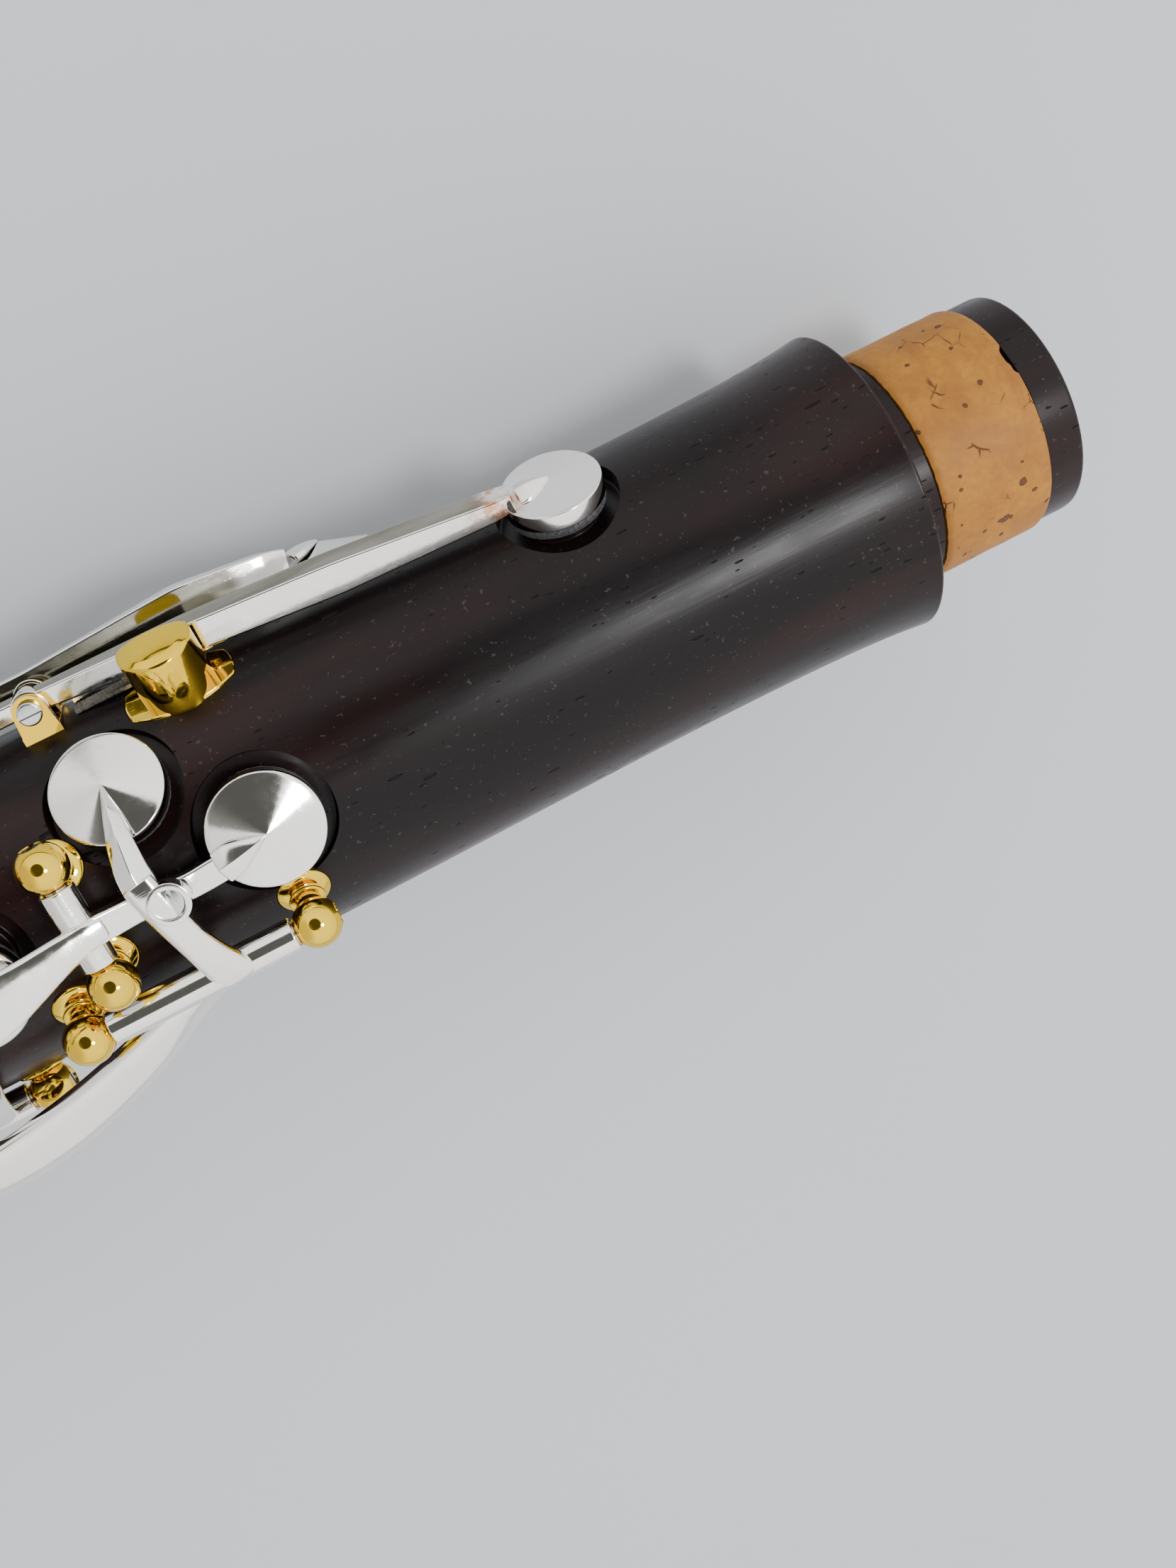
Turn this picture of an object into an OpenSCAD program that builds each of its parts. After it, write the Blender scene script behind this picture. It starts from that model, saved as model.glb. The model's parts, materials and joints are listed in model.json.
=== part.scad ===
// Upper joint of a Boehm-system clarinet, lying along X.
// +X runs up the bore towards the barrel, +Z is the front with the finger holes,
// +Y is the side of the trill keys. The lower shoulder of the body is at x = 0 and
// the bore's axis is the X axis. Places on the body are given by x, by the angle
// round the bore (from +Z towards +Y) and by the height above the bore's axis.

/* [Body] */
// Length of the wood between its two shoulders
body_len = 191; // [190:0.5:193]
// Radius of the body along its middle
body_r = 14; // [13.95:0.01:14.05]
// Radius of the air bore
bore_r = 7.4; // [7.2:0.1:7.5]
// How much the body flares at its upper end
flare_top = 0.86; // [0.7:0.02:1]
// How much the body flares at its lower end
flare_low = 0.5; // [0.3:0.1:0.6]
// How much the body narrows below the upper flare
waist = 0.28; // [0.2:0.02:0.32]

/* [Tenons] */
// Length of the barrel tenon
top_len = 17.45; // [17:0.05:18]
// Length of the lower tenon
low_len = 18.5; // [18:0.5:20]
// Radius of the bare wood of both tenons
tenon_r = 10.9; // [10.8:0.05:11]
// Radius of the cork on both tenons
cork_r = 11.29; // [11.2:0.01:11.4]
// Length of the cork on both tenons
cork_len = 11.1; // [10.5:0.1:11.5]
// Bare wood beyond the cork, at the tenon's tip
tip_len = 3.63; // [3.4:0.01:3.8]
// Depth of the groove that holds the cork
cork_groove = 0.8; // [0.6:0.1:1]

/* [Pads and cups] */
// Height of the rim that most pads close on
seat_h = 13; // [12.9:0.05:13.1]
// Depth of the round recess round each rim
recess = 0.9; // [0.7:0.1:1]
// How much wider than its cup each recess is
recess_gap = 1.1; // [0.9:0.1:1.2]
// Thickness of the wall round each hole
rim_wall = 1; // [0.8:0.1:1.2]
// How far a pad stands out of its cup
pad_show = 0.9; // [0.7:0.1:1]
// Height of a cup's cylindrical wall
cup_wall_h = 1.9; // [1.7:0.1:2]
// Height of a cup's conical top
cup_cone_h = 1.3; // [1.1:0.1:1.4]
// Thickness of a cup's metal
cup_metal = 0.35; // [0.3:0.05:0.4]
// Cup radius of the A key
a_cup_r = 4.9; // [4.8:0.1:5]
// Cup radius of the A flat key
ab_cup_r = 4.7; // [4.6:0.1:4.8]
// Cup radius of the top two trill keys
trill_cup_r = 4.5; // [4.4:0.1:4.6]
// Cup radius of the smaller keys
small_cup_r = 3.8; // [3.6:0.1:3.9]

/* [Hinges] */
// Outer radius of the hinge tubes
tube_r = 1.5; // [1.45:0.01:1.55]
// Radius of the hinge rods
rod_r = 1; // [0.95:0.01:1.02]
// Gap all round between a rod and its tube
run_gap = 0.05; // [0.03:0.01:0.06]
// Radius of the posts' balls
ball_r = 2.15; // [2.1:0.01:2.18]
// Radius of the posts' base flanges
flange_r = 2.35; // [2.2:0.05:2.4]
// Depth of the threaded stem below each flange
stem_len = 4; // [3.5:0.1:4.2]
// Radius of the threaded stems
stem_r = 1.25; // [1.1:0.05:1.3]

/* [Key places] */
// A key hinge, distance from the lower shoulder
a_x = 112.1; // [112:0.1:112.3]
// A key hinge, height above the bore's axis
a_z = 16.6; // [16.5:0.05:16.65]
// A flat key rod, sideways place
ab_y = -9.2; // [-9.3:0.05:-9.15]
// A flat key rod, height above the bore's axis
ab_z = 15.2; // [15.15:0.05:15.3]
// Hinge of the top two trill keys, distance from the lower shoulder
trill_x = 115.2; // [115:0.1:115.4]
// Hinge of the lower two side keys, distance from the lower shoulder
side_x = 51; // [50.8:0.1:51.2]
// Height of the trill keys' hinges above the bore's axis
trill_h = 16; // [15.9:0.05:16.1]
// Register key hinge, distance from the lower shoulder
register_x = 139; // [138.5:0.5:139.5]

/* [Rest angles] */
// Angle that the ring key stands open at rest
ring_open = 6; // [5.5:0.1:6]
// Angle that the thumb ring stands open at rest
thumb_open = 4.4; // [4.2:0.1:4.4]
// Angle that the vent key, worked by the thumb ring, stands open at rest
vent_open = 6; // [5.8:0.1:6]

/* [Hidden] */
$fn = 64;

WOOD = "#2b1a18";
CORK = "#c8975a";
SILVER = "#d9d5cd";
GOLD = "#d9a93a";
LEATHER = "#1d1b1b";
STEEL = "#9aa0a6";

eps = 0.01;
slot_w = 0.4;
post_seat = 13.55;          // flat seat of each post's flange
saddle_seat = 13.3;         // flat seat of each saddle's base
post_top = ball_r - 0.2;    // half length of a rod inside a ball
tube_gap = 1.98;            // from a ball's centre to the end of the tube beside it
pad_gap = 0.02;             // free space under a closed pad

// Vents with a pad: [x, angle, cup radius, seat height, hole radius]
A_VENT = [128.5, 0, a_cup_r, seat_h, 2.6];
AB_VENT = [118.8, 32, ab_cup_r, seat_h, 2.3];
VENT = [102, 0, 4.7, seat_h - 0.4, 3];
RING_VENT = [72, 0, 3.2, seat_h, 1.8];
SLIVER_VENT = [58, -92, small_cup_r, seat_h, 2.2];
CS_VENT = [28, -38, 4, seat_h, 2.4];
TRILL_4 = [162.7, 61, trill_cup_r, seat_h, 2.4];
TRILL_3 = [143, 95, trill_cup_r - 0.2, seat_h, 2.4];
SIDE_2 = [85, 102, small_cup_r, seat_h, 2.3];
SIDE_1 = [66, 117, small_cup_r, seat_h, 2.3];
REGISTER = [165, 180, 3.6, 14.9, 1.5];
VENTS = [A_VENT, AB_VENT, VENT, RING_VENT, SLIVER_VENT, CS_VENT, TRILL_4, TRILL_3, SIDE_2, SIDE_1];

// Finger holes with no pad: [x, angle, hole radius, chimney radius, chimney top]
L1_HOLE = [83, 0, 3.6, 4.4, 15.3];
L2_HOLE = [61, 0, 3.6, 4.4, 15.3];
L3_HOLE = [39, 0, 3.9, 5.2, 15.1];
THUMB_HOLE = [94, 180, 3.4, 4.4, 15.3];

// Hinge rods along X: [sideways place, height, lower post x, upper post x]
AB_ROD = [ab_y, ab_z, 107.9, 128.3];
VENT_ROD = [16 * sin(-80), 16 * cos(-80), 84, 99.5];
THUMB_ROD = [16.3 * sin(-130), 16.3 * cos(-130), 84, 104];
RING_ROD = [17.3 * sin(34), 17.3 * cos(34), 14, 93.2];
SLIVER_ROD = [17 * sin(-55), 17 * cos(-55), 43.5, 66];
CS_ROD = [16.8 * sin(-75), 16.8 * cos(-75), 12, 38];
X_RODS = [AB_ROD, VENT_ROD, THUMB_ROD, RING_ROD, SLIVER_ROD, CS_ROD];

// The A key's hinge runs across the body between two posts
a_post_y = 5.55;

// Saddles: [x, angle, half width]; their hinge screw runs round the body
TRILL_SADDLE = [trill_x, 83, 4.3];
SIDE_SADDLE = [side_x, 98, 4.3];
REGISTER_SADDLE = [register_x, 180, 2.6];
SADDLES = [TRILL_SADDLE, SIDE_SADDLE, REGISTER_SADDLE];
lane = 1.75;                // each trill key's place beside the middle ear
lug_w = 2.1;                // width of a trill key's bar
screw_r = 0.8;              // radius of the saddles' hinge screws
guide = [127.1, 61, 3.25]; // key guide: x, angle, radius

function profile_r(x) = let (u = body_len - x)
  body_r - waist * exp(-pow((u - 25) / 22, 2)) + flare_top * exp(-u / 6) + flare_low * exp(-x / 8);
function rod_angle(rod) = atan2(rod[0], rod[1]);
function rod_height(rod) = norm([rod[0], rod[1]]);

// ---- frames and shared shapes ----

// Local +Z points out of the body, +X up the bore, +Y round towards the trill side
module on_body(x, angle) translate([x, 0, 0]) rotate([-angle, 0, 0]) children();

module x_cylinder(x0, x1, r) translate([x0, 0, 0]) rotate([0, 90, 0]) cylinder(r = r, h = x1 - x0);

module y_cylinder(y0, y1, r) translate([0, y0, 0]) rotate([-90, 0, 0]) cylinder(r = r, h = y1 - y0);

// Turns a key about a rod that runs along X
module turned(rod, angle) translate([0, rod[0], rod[1]]) rotate([angle, 0, 0])
  translate([0, -rod[0], -rod[1]]) children();

// A small block on the body: [x, angle, low, high, width]
module slab(s, length = 0.8) on_body(s[0], s[1])
  translate([-length / 2, -s[4] / 2, s[2]]) cube([length, s[4], s[3] - s[2]]);

// A bar that joins a row of blocks
module bar(stations) for (i = [0 : len(stations) - 2])
  hull() { slab(stations[i]); slab(stations[i + 1]); }

// A small block anywhere: [x, y, z, width, thickness, tilt]
module chip(s, length = 0.8) translate([s[0], s[1], s[2]]) rotate([-s[5], 0, 0])
  cube([length, s[3], s[4]], center = true);

module chain(stations, length = 0.8) for (i = [0 : len(stations) - 2])
  hull() { chip(stations[i], length); chip(stations[i + 1], length); }

module slot(depth) translate([-slot_w / 2, -3, -depth]) cube([slot_w, 6, depth + 1]);

// ---- posts, rods and saddles ----

module post_shape(height, seat = post_seat) {
  rotate_extrude() polygon([[0, seat - stem_len], [stem_r, seat - stem_len], [stem_r, seat],
    [flange_r, seat], [flange_r, seat + 0.5], [1.9, seat + 0.9], [1.15, seat + 0.9],
    [1.15, seat + 1.2], [1.55, seat + 1.3], [1.55, seat + 1.6], [1.15, seat + 1.7],
    [1.15, height], [0, height]]);
  translate([0, 0, height]) sphere(r = ball_r);
}

module rod_posts(rod) difference() {
  for (x = [rod[2], rod[3]]) on_body(x, rod_angle(rod)) post_shape(rod_height(rod));
  translate([0, rod[0], rod[1]]) x_cylinder(rod[2] - 4, rod[3] + 4, rod_r);
}

module x_rod(rod) translate([0, rod[0], rod[1]]) difference() {
  x_cylinder(rod[2] - post_top + 0.1, rod[3] + post_top - 0.1, rod_r);
  translate([rod[3] + post_top - 0.1, 0, 0]) rotate([0, 90, 0]) slot(0.5);
}

module tube(rod) translate([0, rod[0], rod[1]])
  x_cylinder(rod[2] + tube_gap, rod[3] - tube_gap, tube_r);

module tube_bore(rod) translate([0, rod[0], rod[1]])
  x_cylinder(rod[2] - 5, rod[3] + 5, rod_r + run_gap);

// A base plate with ears and two stems; gaps between the ears take the keys' lugs
module saddle(s, ears) on_body(s[0], s[1]) difference() {
  union() {
    translate([-1.7, -s[2], saddle_seat]) cube([3.4, 2 * s[2], 0.9]);
    for (ear = ears) {
      translate([-1.7, ear[0], saddle_seat]) cube([3.4, ear[1], trill_h - saddle_seat]);
      translate([0, ear[0], trill_h]) rotate([-90, 0, 0]) cylinder(r = 1.7, h = ear[1]);
    }
    for (side = [-1, 1]) translate([0, side * (s[2] - 1.3), saddle_seat - 3]) cylinder(r = 1, h = 3);
  }
  translate([0, 0, trill_h]) y_cylinder(-6, 6, screw_r);
}

module saddle_screw(s) on_body(s[0], s[1]) translate([0, 0, trill_h]) difference() {
  union() {
    y_cylinder(-s[2], s[2], screw_r);
    y_cylinder(-s[2] - 0.7, -s[2], 1.3);
  }
  translate([0, -s[2] - 0.7, 0]) rotate([90, 0, 0]) slot(0.35);
}

// ---- pads and cups ----

module cup(v) on_body(v[0], v[1]) rotate_extrude() polygon([
  [0, v[3] + pad_show + 1.2], [v[2] - cup_metal, v[3] + pad_show + 1.2],
  [v[2] - cup_metal, v[3] + pad_show], [v[2], v[3] + pad_show],
  [v[2], v[3] + pad_show + cup_wall_h], [0, v[3] + pad_show + cup_wall_h + cup_cone_h]]);

module flat_cup(v) on_body(v[0], v[1]) rotate_extrude() polygon([
  [0, v[3] + pad_show + 1.2], [v[2] - cup_metal, v[3] + pad_show + 1.2],
  [v[2] - cup_metal, v[3] + pad_show], [v[2], v[3] + pad_show],
  [v[2], v[3] + pad_show + 1.5], [v[2] - 0.3, v[3] + pad_show + 1.8], [0, v[3] + pad_show + 1.9]]);

module pad(v) on_body(v[0], v[1]) translate([0, 0, v[3] + pad_gap])
  cylinder(r = v[2] - cup_metal, h = pad_show + 1.2 - pad_gap);

// ---- the body ----

module profile(x0, x1, steps) polygon(concat([[0, x0]],
  [for (i = [0 : steps]) let (x = x0 + (x1 - x0) * i / steps) [profile_r(x), x]], [[0, x1]]));

module cork_ring(x) difference() {
  x_cylinder(x, x + cork_len, cork_r);
  x_cylinder(x - 1, x + cork_len + 1, tenon_r - cork_groove);
}

module tenon(x0, x1, cork_x) difference() {
  x_cylinder(x0, x1, tenon_r);
  difference() {
    x_cylinder(cork_x, cork_x + cork_len, tenon_r + 1);
    x_cylinder(cork_x - 1, cork_x + cork_len + 1, tenon_r - cork_groove);
  }
}

module vent_cut(v) on_body(v[0], v[1]) {
  difference() {
    translate([0, 0, v[3] - recess]) cylinder(r = v[2] + recess_gap, h = 8);
    translate([0, 0, v[3] - recess - 1]) cylinder(r = v[4] + rim_wall, h = recess + 1);
  }
  cylinder(r = v[4], h = 20);
}

module chimney(h) on_body(h[0], h[1]) translate([0, 0, 10]) cylinder(r = h[3], h = h[4] - 10);

module chimney_bore(h) {
  cylinder(r = h[2], h = 20);
  translate([0, 0, h[4] - 0.5]) cylinder(r1 = h[2], r2 = h[2] + 0.6, h = 0.5 + eps);
}

module post_cut(x, angle) on_body(x, angle) {
  translate([0, 0, post_seat]) cylinder(r = flange_r, h = 6);
  translate([0, 0, post_seat - stem_len]) cylinder(r = stem_r, h = stem_len + 1);
}

module saddle_cut(s) on_body(s[0], s[1]) {
  translate([-1.7, -s[2], saddle_seat]) cube([3.4, 2 * s[2], 6]);
  for (side = [-1, 1]) translate([0, side * (s[2] - 1.3), saddle_seat - 3]) cylinder(r = 1, h = 4);
}

module body() color(WOOD) difference() {
  union() {
    rotate([0, 90, 0]) rotate_extrude($fn = 96) {
      profile(0, 16, 2);
      profile(16, 126, 1);
      profile(126, body_len - 13, 4);
      profile(body_len - 13, body_len, 5);
    }
    tenon(body_len - 1, body_len + top_len, body_len + top_len - tip_len - cork_len);
    tenon(-low_len, 1, -low_len + tip_len);
    for (h = [L1_HOLE, L2_HOLE, L3_HOLE]) chimney(h);
  }
  x_cylinder(-low_len - 1, body_len + top_len + 1, bore_r);
  for (v = VENTS) vent_cut(v);
  for (h = [L1_HOLE, L2_HOLE, L3_HOLE]) on_body(h[0], h[1]) chimney_bore(h);
  on_body(THUMB_HOLE[0], 180) cylinder(r = THUMB_HOLE[3], h = 20);
  on_body(REGISTER[0], 180) {
    cylinder(r = 2.6, h = 20);
    translate([0, 0, 13.2]) cylinder(r = REGISTER[2] + 1, h = 6);
  }
  for (rod = X_RODS, x = [rod[2], rod[3]]) post_cut(x, rod_angle(rod));
  for (side = [-1, 1]) post_cut(a_x, side * atan2(a_post_y, a_z));
  for (s = SADDLES) saddle_cut(s);
  guide_cut();
}

module barrel_tenon_cork() color(CORK) cork_ring(body_len + top_len - tip_len - cork_len);
module lower_tenon_cork() color(CORK) cork_ring(-low_len + tip_len);

// The two metal tubes stop short of the bore
module register_vent_tube() color(SILVER) on_body(REGISTER[0], 180) difference() {
  translate([0, 0, bore_r + 0.3]) cylinder(r = 2.6, h = REGISTER[3] - bore_r - 0.3);
  cylinder(r = REGISTER[4], h = 20);
}

module thumb_hole_tube() color(SILVER) on_body(THUMB_HOLE[0], 180) difference() {
  translate([0, 0, bore_r + 0.5]) cylinder(r = THUMB_HOLE[3], h = THUMB_HOLE[4] - bore_r - 0.5);
  chimney_bore(THUMB_HOLE);
}

// ---- posts, saddles and guide ----

module a_key_posts() color(GOLD) difference() {
  for (side = [-1, 1]) on_body(a_x, side * atan2(a_post_y, a_z)) post_shape(norm([a_post_y, a_z]));
  translate([a_x, 0, a_z]) y_cylinder(-12, 12, rod_r);
}

module ab_key_posts() color(GOLD) rod_posts(AB_ROD);
module vent_key_posts() color(GOLD) rod_posts(VENT_ROD);
module thumb_key_posts() color(GOLD) rod_posts(THUMB_ROD);
module ring_key_posts() color(GOLD) rod_posts(RING_ROD);
module sliver_key_posts() color(GOLD) rod_posts(SLIVER_ROD);
module cs_key_posts() color(GOLD) rod_posts(CS_ROD);

module trill_saddle() color(GOLD) saddle(TRILL_SADDLE, [[-4.3, 1.4], [-0.6, 1.2], [2.9, 1.4]]);
module side_saddle() color(GOLD) saddle(SIDE_SADDLE, [[-4.3, 1.4], [-0.6, 1.2], [2.9, 1.4]]);
module register_saddle() color(GOLD) saddle(REGISTER_SADDLE, [[-2.6, 1.3], [1.3, 1.3]]);

// A plate with two long curved sides and blunt ends
module boat(low, high) intersection() {
  translate([0, -6, low]) cylinder(r = 9, h = high - low);
  translate([0, 6, low]) cylinder(r = 9, h = high - low);
  translate([0, 0, low]) cylinder(r = 4.9, h = high - low);
}

module guide_cut() on_body(guide[0], guide[1]) {
  boat(13, 20);
  translate([0, 0, 10]) cylinder(r = stem_r, h = 4);
}

// A domed barrel on a boat-shaped base; its back is cut flat beside the trill key's bar
module trill_guide() color(GOLD) on_body(guide[0], guide[1]) {
  boat(13, 14.05);
  translate([0, 0, 10]) cylinder(r = stem_r, h = 3.5);
  difference() {
    intersection() {
      translate([0, 0, 14]) cylinder(r = guide[2], h = 6);
      translate([0, 0, 10.7]) sphere(r = 9);
    }
    translate([-6, 0.75, 14.05]) cube([12, 6, 8]);
  }
}

// ---- rods and screws ----

module a_key_rod() color(STEEL) translate([a_x, 0, a_z]) difference() {
  y_cylinder(-a_post_y - post_top + 0.1, a_post_y + post_top - 0.1, rod_r);
  translate([0, a_post_y + post_top - 0.1, 0]) rotate([-90, 0, 0]) slot(0.5);
}

module ab_key_rod() color(STEEL) x_rod(AB_ROD);
module vent_key_rod() color(STEEL) x_rod(VENT_ROD);
module thumb_key_rod() color(STEEL) x_rod(THUMB_ROD);
module ring_key_rod() color(STEEL) x_rod(RING_ROD);
module sliver_key_rod() color(STEEL) x_rod(SLIVER_ROD);
module cs_key_rod() color(STEEL) x_rod(CS_ROD);
module trill_screw() color(STEEL) saddle_screw(TRILL_SADDLE);
module side_screw() color(STEEL) saddle_screw(SIDE_SADDLE);
module register_screw() color(STEEL) saddle_screw(REGISTER_SADDLE);

// ---- keys ----

// A key: one bar from the cup, under the A flat key's arm and over the hinge, to the touch
module a_key() color(SILVER) difference() {
  union() {
    cup(A_VENT);
    translate([a_x, 0, a_z]) y_cylinder(-a_post_y + tube_gap, a_post_y - tube_gap, tube_r);
    chain([[A_VENT[0] - 0.5, -0.1, 17, 0.6, 0.4, 0], [124.4, -0.9, 16.35, 2.4, 1.3, 0],
      [121.3, -1.2, 15.85, 2.2, 1.4, 0], [116.6, -0.8, 16.1, 2.2, 1.5, 0],
      [a_x, -0.5, 17.4, 2.4, 2, 0], [105.5, -1.8, 19.6, 4.8, 1.2, 0],
      [98, -2.2, 20.9, 6.2, 1.1, 0]]);
    translate([97.6, -2.2, 20.35]) cylinder(r = 3.1, h = 1.1);
  }
  translate([a_x, 0, a_z]) y_cylinder(-12, 12, rod_r + run_gap);
}

// A flat key: its arm crosses over the A key's bar and carries the adjusting screw
module ab_key() color(SILVER) difference() {
  union() {
    cup(AB_VENT);
    tube(AB_ROD);
    translate([119.4, -1.1, 17.2]) cylinder(r = 1.75, h = 1.6);
    chain([[119.5, -9.4, 16.2, 3, 1.3, -30], [118.6, -2.8, 18, 3, 1.2, -8],
      [118, 0.8, 18.1, 3, 1.2, 4], [118.5, 4.9, 17.1, 3, 1.2, 22],
      [118.8, 17 * sin(32), 17 * cos(32), 1.6, 0.6, 32]], 2.2);
    chain([[116.5, -10.8, 13.7, 3.2, 1.7, -45], [108, -14.6, 11.9, 5, 1.5, -34],
      [98, -17.5, 10.3, 6, 1.5, -32], [86, -18.1, 9.6, 4.8, 1.4, -36]], 1.5);
  }
  tube_bore(AB_ROD);
  translate([119.4, -1.1, 10]) cylinder(r = 1.25, h = 12);
}

module ab_adjusting_screw() color(STEEL) translate([119.4, -1.1, 16.88]) difference() {
  cylinder(r = 1.25, h = 1.8);
  translate([0, 0, 1.8]) slot(0.4);
}

// Vent key over the first finger hole, closed by the thumb ring through its tail
module vent_key() color(SILVER) turned(VENT_ROD, vent_open) difference() {
  union() {
    flat_cup(VENT);
    tube(VENT_ROD);
    bar([[94.5, -78, 15.4, 17, 3], [96, -58, 15, 16.2, 3], [98, -34, 15.3, 16.3, 2.6],
      [99.5, -19, 15.7, 16.4, 2.4], [101.5, -3, 15.1, 15.7, 2.4]]);
    chain([[89.5, -16, 1.6, 2.4, 1.6, 90], [89.5, -16.7, -3, 2.4, 1, 90]], 2.6);
  }
  tube_bore(VENT_ROD);
}

module finger_ring(x, z) translate([x, 0, z]) difference() {
  cylinder(r = 6.3, h = 1.1);
  translate([0, 0, -1]) cylinder(r = 5, h = 4);
}

module thumb_ring_key() color(SILVER) turned(THUMB_ROD, -thumb_open) difference() {
  union() {
    tube(THUMB_ROD);
    finger_ring(THUMB_HOLE[0], -15.4);
    chain([[94, -5.7, -14.85, 2.4, 1.1, 180], [94, -12, -11.6, 2.6, 1.2, -150]], 3);
    chain([[89.5, -13.3, -9.4, 2.4, 1.3, -120], [89.5, -15.1, -3.3, 2, 1, 90]], 2.6);
  }
  tube_bore(THUMB_ROD);
}

// Ring key: two finger rings, the small vent's cup and the bridge lever at the lower end
module ring_key() color(SILVER) turned(RING_ROD, -ring_open) difference() {
  union() {
    tube(RING_ROD);
    flat_cup(RING_VENT);
    for (h = [L1_HOLE, L2_HOLE]) {
      finger_ring(h[0], 14.3);
      hull() {
        translate([h[0], 5.9, 14.85]) cube([3, 0.8, 1.1], center = true);
        translate([h[0], RING_ROD[0] - 0.8, RING_ROD[1] + 0.3]) cube([4, 1, 1.2], center = true);
      }
    }
    chain([[72, 1.5, 16.2, 2.4, 0.9, 0], [72, RING_ROD[0] - 0.8, RING_ROD[1] + 0.6, 2, 1, 0]], 2.4);
    chain([[22, RING_ROD[0] + 0.9, RING_ROD[1] + 0.5, 2.4, 1.3, 50],
      [18, RING_ROD[0] + 3.8, RING_ROD[1] - 0.4, 2.4, 1.3, 60],
      [4, RING_ROD[0] + 4, RING_ROD[1] - 0.5, 3.6, 1.2, 58]], 2);
  }
  tube_bore(RING_ROD);
}

module sliver_key() color(SILVER) difference() {
  union() {
    cup(SLIVER_VENT);
    tube(SLIVER_ROD);
    bar([[49.6, -52, 17.2, 18.4, 3], [49.6, -34, 17, 18.3, 3], [49.6, -10, 16.6, 17.8, 4.2]]);
    bar([[57.5, -60, 16.8, 18.2, 3], [58, -76, 16.4, 17.8, 2.4], [58, -91, 16.6, 17.4, 1]]);
  }
  tube_bore(SLIVER_ROD);
}

module cs_key() color(SILVER) difference() {
  union() {
    cup(CS_VENT);
    tube(CS_ROD);
    bar([[29, -70, 16.9, 18.2, 3], [28.2, -54, 16.4, 17.7, 2.4], [28, -39, 16.6, 17.4, 1]]);
    bar([[24, -82, 17, 18.2, 3], [20, -94, 18.1, 19.3, 8], [13, -98, 18.2, 19.4, 7]]);
  }
  tube_bore(CS_ROD);
}

// A rocking key on a saddle: a cup, a bar through the hinge and a touch
module rocking_key(v, s, offset, stations) difference() {
  union() {
    cup(v);
    bar(stations);
    on_body(s[0], s[1]) translate([0, 0, trill_h]) y_cylinder(offset - lug_w / 2, offset + lug_w / 2, 1.6);
  }
  on_body(s[0], s[1]) translate([0, 0, trill_h]) y_cylinder(-7, 7, screw_r + run_gap);
}

module trill_key_4() color(SILVER) rocking_key(TRILL_4, TRILL_SADDLE, -lane,
  [[162.2, 61, 16.6, 17.3, 0.8], [157.5, 62.5, 15, 17, 2.3], [143, 65.5, 14.8, 18, 2.3],
   [130, 70, 15.2, 18, 2.3], [trill_x, 77, 15.6, 17.3, 1.6], [50, 57, 17.6, 19.2, 2.3],
   [45, 56, 18.2, 19.6, 4.6], [35, 56, 18.3, 19.5, 4.6]]);

module trill_key_3() color(SILVER) rocking_key(TRILL_3, TRILL_SADDLE, lane,
  [[142.6, 94, 16.6, 17.4, 0.8], [138, 88, 16.3, 18.6, 2.1], [130, 85, 15.8, 19.4, 2.1],
   [trill_x, 89.2, 15.6, 18.2, 1.5], [50, 74, 17.6, 19.2, 2.3], [45, 73.5, 18.2, 19.6, 4.6],
   [35, 73.5, 18.3, 19.5, 4.6]]);

module side_key_2() color(SILVER) rocking_key(SIDE_2, SIDE_SADDLE, -lane,
  [[84.6, 102, 16.6, 17.3, 0.8], [80, 99, 15.2, 17.2, 2], [side_x, 91.8, 15.2, 17.2, 1.6],
   [34, 89, 16.4, 18, 2.1], [30, 80, 17.6, 19, 4.8], [14, 80, 17.6, 18.9, 4.8]]);

module side_key_1() color(SILVER) rocking_key(SIDE_1, SIDE_SADDLE, lane,
  [[65.6, 117, 16.6, 17.3, 0.8], [61, 110, 15.4, 17.2, 2], [side_x, 104.2, 15.2, 17, 1.4],
   [34, 102, 16.4, 18, 2.1], [30, 97.5, 17.6, 19, 4.8], [14, 97.5, 17.6, 18.9, 4.8]]);

module register_key() color(SILVER) rocking_key(REGISTER, REGISTER_SADDLE, 0,
  [[164.6, 180, 18.2, 19, 0.8], [159, 180, 16.9, 18.4, 2.1], [register_x, 180, 15.4, 17.4, 2.1],
   [118, 180, 16.6, 18.2, 2.4], [112, 180, 17, 18.4, 6.4], [105, 180, 17.1, 18.3, 5]]);

// ---- pads ----

module a_pad() color(LEATHER) pad(A_VENT);
module ab_pad() color(LEATHER) pad(AB_VENT);
module vent_pad() color(LEATHER) turned(VENT_ROD, vent_open) pad(VENT);
module ring_key_pad() color(LEATHER) turned(RING_ROD, -ring_open) pad(RING_VENT);
module sliver_pad() color(LEATHER) pad(SLIVER_VENT);
module cs_pad() color(LEATHER) pad(CS_VENT);
module trill_pad_4() color(LEATHER) pad(TRILL_4);
module trill_pad_3() color(LEATHER) pad(TRILL_3);
module side_pad_2() color(LEATHER) pad(SIDE_2);
module side_pad_1() color(LEATHER) pad(SIDE_1);
module register_pad() color(LEATHER) pad(REGISTER);

// ---- flat springs under the rocking keys ----

// A thin strip from the bar down to the wood: [x, angle] at the bar and at the wood
module flat_spring(fixed, free, lift) color(STEEL) hull() {
  on_body(fixed[0], fixed[1]) translate([-1, -0.7, lift - 0.4]) cube([2, 1.4, 0.35]);
  on_body(free[0], free[1]) translate([-1, -0.7, 14.06]) cube([2, 1.4, 0.35]);
}

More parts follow.
